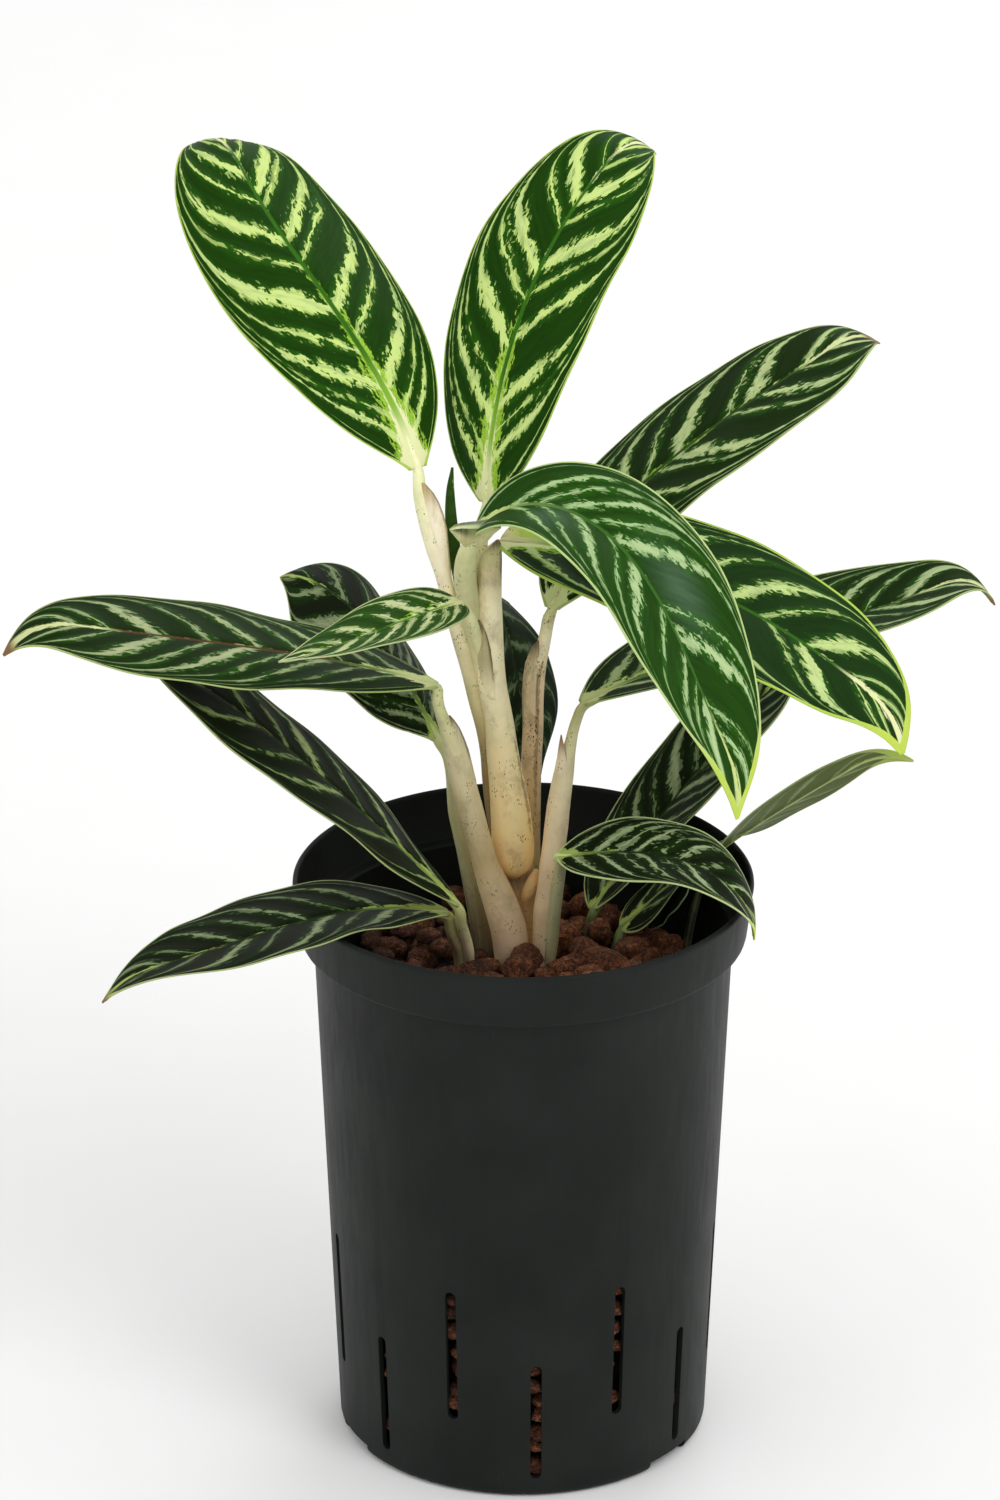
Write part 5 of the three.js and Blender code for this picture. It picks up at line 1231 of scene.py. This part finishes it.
def lathe(profile, sides):
    """Points and faces of a closed turned body whose profile starts and ends on the axis."""
    points = [(0, 0, profile[0][1]), (0, 0, profile[-1][1])]
    rings = profile[1:-1]
    for radius, z in rings:
        for k in range(sides):
            angle = 2 * math.pi * k / sides
            points.append((radius * math.cos(angle), radius * math.sin(angle), z))
    faces = []
    last = 2 + (len(rings) - 1) * sides
    for k in range(sides):
        after = (k + 1) % sides
        faces.append((0, 2 + after, 2 + k))
        for a in range(2, last, sides):
            faces.append((a + k, a + after, a + sides + after, a + sides + k))
        faces.append((1, last + k, last + after))
    return points, faces


def slot_list():
    """The azimuth, bottom and top of every slot."""
    pitch = 360 / SLOT_COUNT
    return [(first + pitch * k, bottom, top)
            for k in range(0, SLOT_COUNT, 2) for bottom, top, first in (LOW_SLOT, HIGH_SLOT)]


def slot_cutter(azimuth, bottom, top):
    """Points and faces of a stadium-shaped bar through the wall."""
    half = SLOT_WIDTH / 2
    outward = around_pot(azimuth)
    up = np.array([0, 0, 1])
    side = np.cross(up, outward)
    outline = []
    for centre, first in ((top - half, 0), (bottom + half, math.pi)):
        for k in range(SLOT_ARC + 1):
            angle = first + math.pi * k / SLOT_ARC
            outline.append((half * math.cos(angle), centre + half * math.sin(angle)))
    points = [side * x + up * z + outward * depth for depth in SLOT_CUT for x, z in outline]
    n = len(outline)
    faces = [(k, (k + 1) % n, n + (k + 1) % n, n + k) for k in range(n)]
    faces += [tuple(range(n))[::-1], tuple(range(n, 2 * n))]
    return points, faces


def foot_cutter(azimuth):
    """Points and faces of a block that leaves a gap in the foot."""
    outward = around_pot(azimuth)
    side = np.cross([0, 0, 1], outward)
    corners = []
    for z in (-1, CHANNEL_HEIGHT):
        for a, b in ((1, -1), (-1, -1), (-1, 1), (1, 1)):
            away = BASE_RADIUS - 2.5 + b * FOOT_GAP_DEPTH
            corners.append(side * a * FOOT_GAP_WIDTH / 2 + outward * away + np.array([0, 0, z]))
    faces = [(3, 2, 1, 0), (4, 5, 6, 7)] + [(k, (k + 1) % 4, 4 + (k + 1) % 4, 4 + k) for k in range(4)]
    return corners, faces


def cut(piece, cutters):
    """Takes a list of closed bodies away from the piece for good."""
    folder = bpy.data.collections.new("cutters")
    for cutter in cutters:
        folder.objects.link(cutter)
    tool = piece.modifiers.new("cut", "BOOLEAN")
    tool.operation = "DIFFERENCE"
    tool.solver = "MANIFOLD"
    tool.operand_type = "COLLECTION"
    tool.collection = folder
    evaluated = piece.evaluated_get(bpy.context.evaluated_depsgraph_get())
    mesh = bpy.data.meshes.new_from_object(evaluated)
    piece.modifiers.clear()
    piece.data = mesh
    for cutter in cutters:
        bpy.data.objects.remove(cutter)
    bpy.data.collections.remove(folder)


def build_pot(material):
    """The pot, turned from a profile that goes from its underside round the rim to the floor inside. Each
    bend has a radius and a height, and its points' distances from them."""
    skirt_foot = POT_HEIGHT - SKIRT_HEIGHT
    bends = [
        (CHANNEL_INNER_RADIUS, 0, [(0, 0), (1.5, CHANNEL_HEIGHT)]),
        (FOOT_INNER_RADIUS, 0, [(-1, CHANNEL_HEIGHT), (0, 0.6), (0.6, 0.1), (1, 0)]),
        (BASE_RADIUS, 0, [(-3, 0), (-1.8, 0.2), (-0.9, 0.8), (-0.3, 1.7), (0, 3)]),
        (BODY_TOP_RADIUS, skirt_foot, [(-0.05, -1.2), (0.4, -0.2), (1, 0)]),
        (SKIRT_FOOT_RADIUS, skirt_foot, [(-0.7, 0.1), (-0.15, 0.5), (0.1, 1.4)]),
        (RIM_RADIUS, POT_HEIGHT, [(-0.45, -2.2), (-0.25, -1.4), (-0.3, -0.7), (-0.65, -0.2), (-1.1, 0),
                                  (-1.55, -0.15), (-1.9, -0.6), (-2.1, -1.4)]),
        (SKIRT_FOOT_RADIUS - WALL, skirt_foot + WALL, [(0, 0.6), (-0.6, 0)]),
        (inner_radius(skirt_foot), skirt_foot + WALL, [(0.6, -0.1), (0, -0.7)]),
        (BASE_RADIUS - WALL, FLOOR_LEVEL, [(-0.2, 2), (-2, 0)]),
    ]
    profile = [(radius + out, z + up) for radius, z, offsets in bends for out, up in offsets]
    profile = [(0, 0), *profile, (0, FLOOR_LEVEL)]
    pot = new_piece("pot_shell", *lathe(profile, POT_SIDES), material, "pot")
    cutters = [new_object("slot", *slot_cutter(*slot)) for slot in slot_list()]
    for k in range(FOOT_GAPS):
        azimuth = FIRST_FOOT_GAP + 360 / FOOT_GAPS * k
        cutters.append(new_object("foot_gap", *foot_cutter(azimuth)))
    cut(pot, cutters)
    pot.data.polygons.foreach_set("use_smooth", [True] * len(pot.data.polygons))
    pot.data.set_sharp_from_angle(angle=math.radians(SHARP_ANGLE))
    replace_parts(pot, "pot")


# Clay pebbles

CLAY_SEED = 41
CLAY_EDGE_LEVEL = 160
CLAY_MOUND_LEVEL = 168
MOUND_RADIUS = 52
PEBBLE_SIZES = (3.4, 7)
SLOT_PEBBLE_SIZES = (3.0, 4.6)
SLOT_PEBBLES = 7
SLOT_SPREAD = 2.2
TOP_PEBBLES = 300
TRIES = 40
PRESSED = 0.84
BURIED = 12
WALL_GAP = 0.25
SURFACE_LEVELS = (156, 162, 168)

# Pebbles larger than this, nearer the front and higher up than this, get the finer mesh
FINE_SIZE = 5
FINE_DEPTH = 30
FINE_HEIGHT = 154

# The core is a near-black body under the pebbles, painted shade in the gaps between them
CORE_GAP = 8
CORE_SIDES = 64


def clay_level(radius):
    share = min(1, radius / MOUND_RADIUS)
    return CLAY_MOUND_LEVEL + (CLAY_EDGE_LEVEL - CLAY_MOUND_LEVEL) * share * share


def unit_ball(cuts):
    ball = bmesh.new()
    bmesh.ops.create_icosphere(ball, subdivisions=cuts, radius=1)
    points = np.array([v.co[:] for v in ball.verts])
    faces = [[v.index for v in f.verts] for f in ball.faces]
    ball.free()
    return points, faces


def random_direction(rng):
    axis = np.array([rng.gauss(0, 1) for _ in range(3)])
    return axis / np.linalg.norm(axis)


def lumpy(points, rng):
    """A ball turned into a rough pebble: stretched, with flats, dents and cracks on three scales."""
    shape = points * [rng.uniform(0.85, 1.5), rng.uniform(0.8, 1.1), rng.uniform(0.62, 0.9)]
    swell = np.ones(len(points))
    for _ in range(9):
        reach = points @ random_direction(rng)
        swell += rng.uniform(-0.32, 0.08) * np.exp(-((1 - reach) / 0.3))
    for waves, height in ((3.2, 0.07), (6.5, 0.05), (12, 0.03)):
        phases = [rng.uniform(0, 6.3) for _ in range(3)]
        folds = [np.sin(points @ random_direction(rng) * waves + phase) for phase in phases]
        swell += height * (1 - 2 * np.abs(folds[0] * 0.6 + folds[1] * folds[2] * 0.7))
    shape = shape * swell[:, None]
    turn = rng.uniform(0, 2 * math.pi)
    tilt = rng.uniform(-0.6, 0.6)
    around = np.array([[math.cos(turn), -math.sin(turn), 0], [math.sin(turn), math.cos(turn), 0], [0, 0, 1]])
    lean = np.array([[1, 0, 0], [0, math.cos(tilt), -math.sin(tilt)], [0, math.sin(tilt), math.cos(tilt)]])
    return shape @ lean.T @ around.T


def stem_holes():
    """Where stems pass the pebbles' surface: a centre and a radius for each."""
    holes = []
    for limb in [limb for limbs in LIMBS.values() for limb in limbs]:
        if limb["route"][0][2] < CLAY_EDGE_LEVEL:
            _, centres, radii = smooth_route(limb["route"])
            for z in SURFACE_LEVELS:
                k = int(np.argmin(np.abs(centres[:, 2] - z)))
                holes.append((centres[k][0], centres[k][1], radii[k]))
    return holes


def settle(rng):
    """Drops pebbles one by one; each comes to rest on those below it. Returns centres and radii."""
    holes = stem_holes()
    placed = []
    for _ in range(TOP_PEBBLES):
        size = rng.uniform(*PEBBLE_SIZES)
        best = None
        for _ in range(TRIES):
            angle, away = rng.uniform(0, 2 * math.pi), math.sqrt(rng.random())
            reach = (inner_radius(CLAY_EDGE_LEVEL) - size * 1.1 - 0.6) * away
            x, y = reach * math.cos(angle), reach * math.sin(angle)
            if any(math.hypot(x - hx, y - hy) < hr + size * 0.85 for hx, hy, hr in holes):
                continue
            z = clay_level(reach) - BURIED
            for px, py, pz, pr in placed:
                flat = math.hypot(x - px, y - py)
                touch = (pr + size) * PRESSED
                if flat < touch:
                    z = max(z, pz + math.sqrt(touch * touch - flat * flat))
            if best is None or z - clay_level(reach) < best[2] - best[4]:
                best = (x, y, z, size, clay_level(reach))
        if best and best[2] + best[3] * 0.5 < best[4] + 4:
            placed.append(best[:4])
    return placed


def slot_pebbles(rng):
    """Centres and radii of the pebbles that show in the slots."""
    for azimuth, bottom, top in slot_list():
        outward = around_pot(azimuth)
        side = np.cross([0, 0, 1], outward)
        for k in range(SLOT_PEBBLES):
            z = bottom + (top - bottom) * (k + rng.uniform(0.3, 0.7)) / SLOT_PEBBLES
            size = rng.uniform(*SLOT_PEBBLE_SIZES)
            centre = outward * (inner_radius(z) - size * 0.95) + side * rng.uniform(-SLOT_SPREAD, SLOT_SPREAD)
            yield (*(centre + np.array([0, 0, z])), size)


def add_pebble(fill, rng, x, y, z, size, ball):
    """A lumpy pebble, pressed inside the pot's wall, with a seed and a tone that varies at random and is
    brighter to the right as painted light: lit on the right, in the leaves' shade on the left.
    """
    points, faces = ball
    shape = lumpy(points, rng) * size + (x, y, z)
    room = (inner_radius(shape[:, 2]) - WALL_GAP) / np.hypot(shape[:, 0], shape[:, 1])
    shape[:, :2] *= np.minimum(1, room)[:, None]
    # Painted light: the tone rises to the right, where the pebbles are lit, and falls to the left, in the
    # leaves' shade
    tone = min(1, 0.65 * rng.random() + 0.55 * smoothstep(-22, 18, x))
    fill.add(shape, faces, (rng.uniform(0, 50), tone, 0))


def build_clay(material):
    rng = random.Random(CLAY_SEED)
    fine, rough = unit_ball(4), unit_ball(3)
    fill = Joined("grain")
    for x, y, z, size in settle(rng):
        is_fine = y < FINE_DEPTH and z > FINE_HEIGHT and size > FINE_SIZE
        add_pebble(fill, rng, x, y, z, size, fine if is_fine else rough)
    for pebble in slot_pebbles(rng):
        add_pebble(fill, rng, *pebble, rough)
    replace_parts(fill.piece("clay_pebble_fill", material, "clay"), "clay_pebbles")

    # Painted shade: a near-black core under the pebbles, which shows in the gaps between them
    bottom = FLOOR_LEVEL + 0.3
    profile = [(0, bottom), (inner_radius(bottom) - CORE_GAP, bottom), (inner_radius(150) - CORE_GAP, 150),
               (40, 154), (0, 157)]
    core = new_piece("clay_pebble_shade_core", *lathe(profile, CORE_SIDES), material, "clay")
    put_vectors(core, "grain", np.broadcast_to((3, 0, 1), (len(core.data.vertices), 3)))


# Stage

CAMERA_AT = (-7.44, -2310.4, 1285.7)
CAMERA_PITCH = 65.6
CAMERA_LENS = 192
SENSOR = 36
VIEW_END = 50

# The floor's half size, the place the lights aim at, and each light's place and size are in metres
FLOOR_SIZE = 12
FLOOR_GAP = 0.0002
WORLD_LIGHT = 0.78
LIGHT_AIM = (0, 0, 0.25)
LIGHTS = {
    "key": {"place": (1.1, -1.3, 1.9), "size": 1.1, "power": 15},
    "fill": {"place": (-1.4, -1.2, 1.4), "size": 1.4, "power": 2.5},
    "back": {"place": (0.5, 1.5, 1.7), "size": 1.2, "power": 8},
}


def build_camera():
    data = bpy.data.cameras.new("camera")
    data.lens = CAMERA_LENS
    data.sensor_width = SENSOR
    data.clip_end = VIEW_END
    camera = bpy.data.objects.new("camera", data)
    camera.location = [v * MM for v in CAMERA_AT]
    camera.rotation_euler = (math.radians(CAMERA_PITCH), 0, 0)
    bpy.context.scene.collection.objects.link(camera)
    bpy.context.scene.camera = camera


def add_light(name, place, size, power):
    data = bpy.data.lights.new(name, "AREA")
    data.shape = "DISK"
    data.size = size
    data.energy = power
    light = bpy.data.objects.new(name, data)
    light.location = place
    away = Vector(LIGHT_AIM) - Vector(place)
    light.rotation_euler = away.to_track_quat("-Z", "Y").to_euler()
    light.visible_camera = False
    bpy.context.scene.collection.objects.link(light)


def build_stage():
    size = FLOOR_SIZE / MM
    corners = [(-size, -size, 0), (size, -size, 0), (size, size, 0), (-size, size, 0)]
    floor = new_object("floor", corners, [(0, 1, 2, 3)])
    floor.data.materials.append(floor_material())
    floor.location = (0, 0, -FLOOR_GAP)

    world = bpy.data.worlds.new("studio")
    world.use_nodes = True
    background = world.node_tree.nodes["Background"]
    background.inputs["Color"].default_value = (1, 1, 1, 1)
    background.inputs["Strength"].default_value = WORLD_LIGHT
    bpy.context.scene.world = world
    for name, values in LIGHTS.items():
        add_light(name, **values)
    bpy.context.scene.view_settings.view_transform = "Standard"


build_stage()
build_camera()
pot_plastic = pot_material()
fired_clay = clay_material()
stem_skin = stem_material()
leaf_skin = leaf_material()
build_pot(pot_plastic)
build_clay(fired_clay)
for stem_name, stem_limbs in LIMBS.items():
    build_stem(stem_name, stem_limbs, stem_skin)
for leaf_number, leaf_shape in enumerate(LEAVES):
    build_leaf(leaf_shape, leaf_skin, leaf_number + 1)
build_young_leaf(leaf_skin)
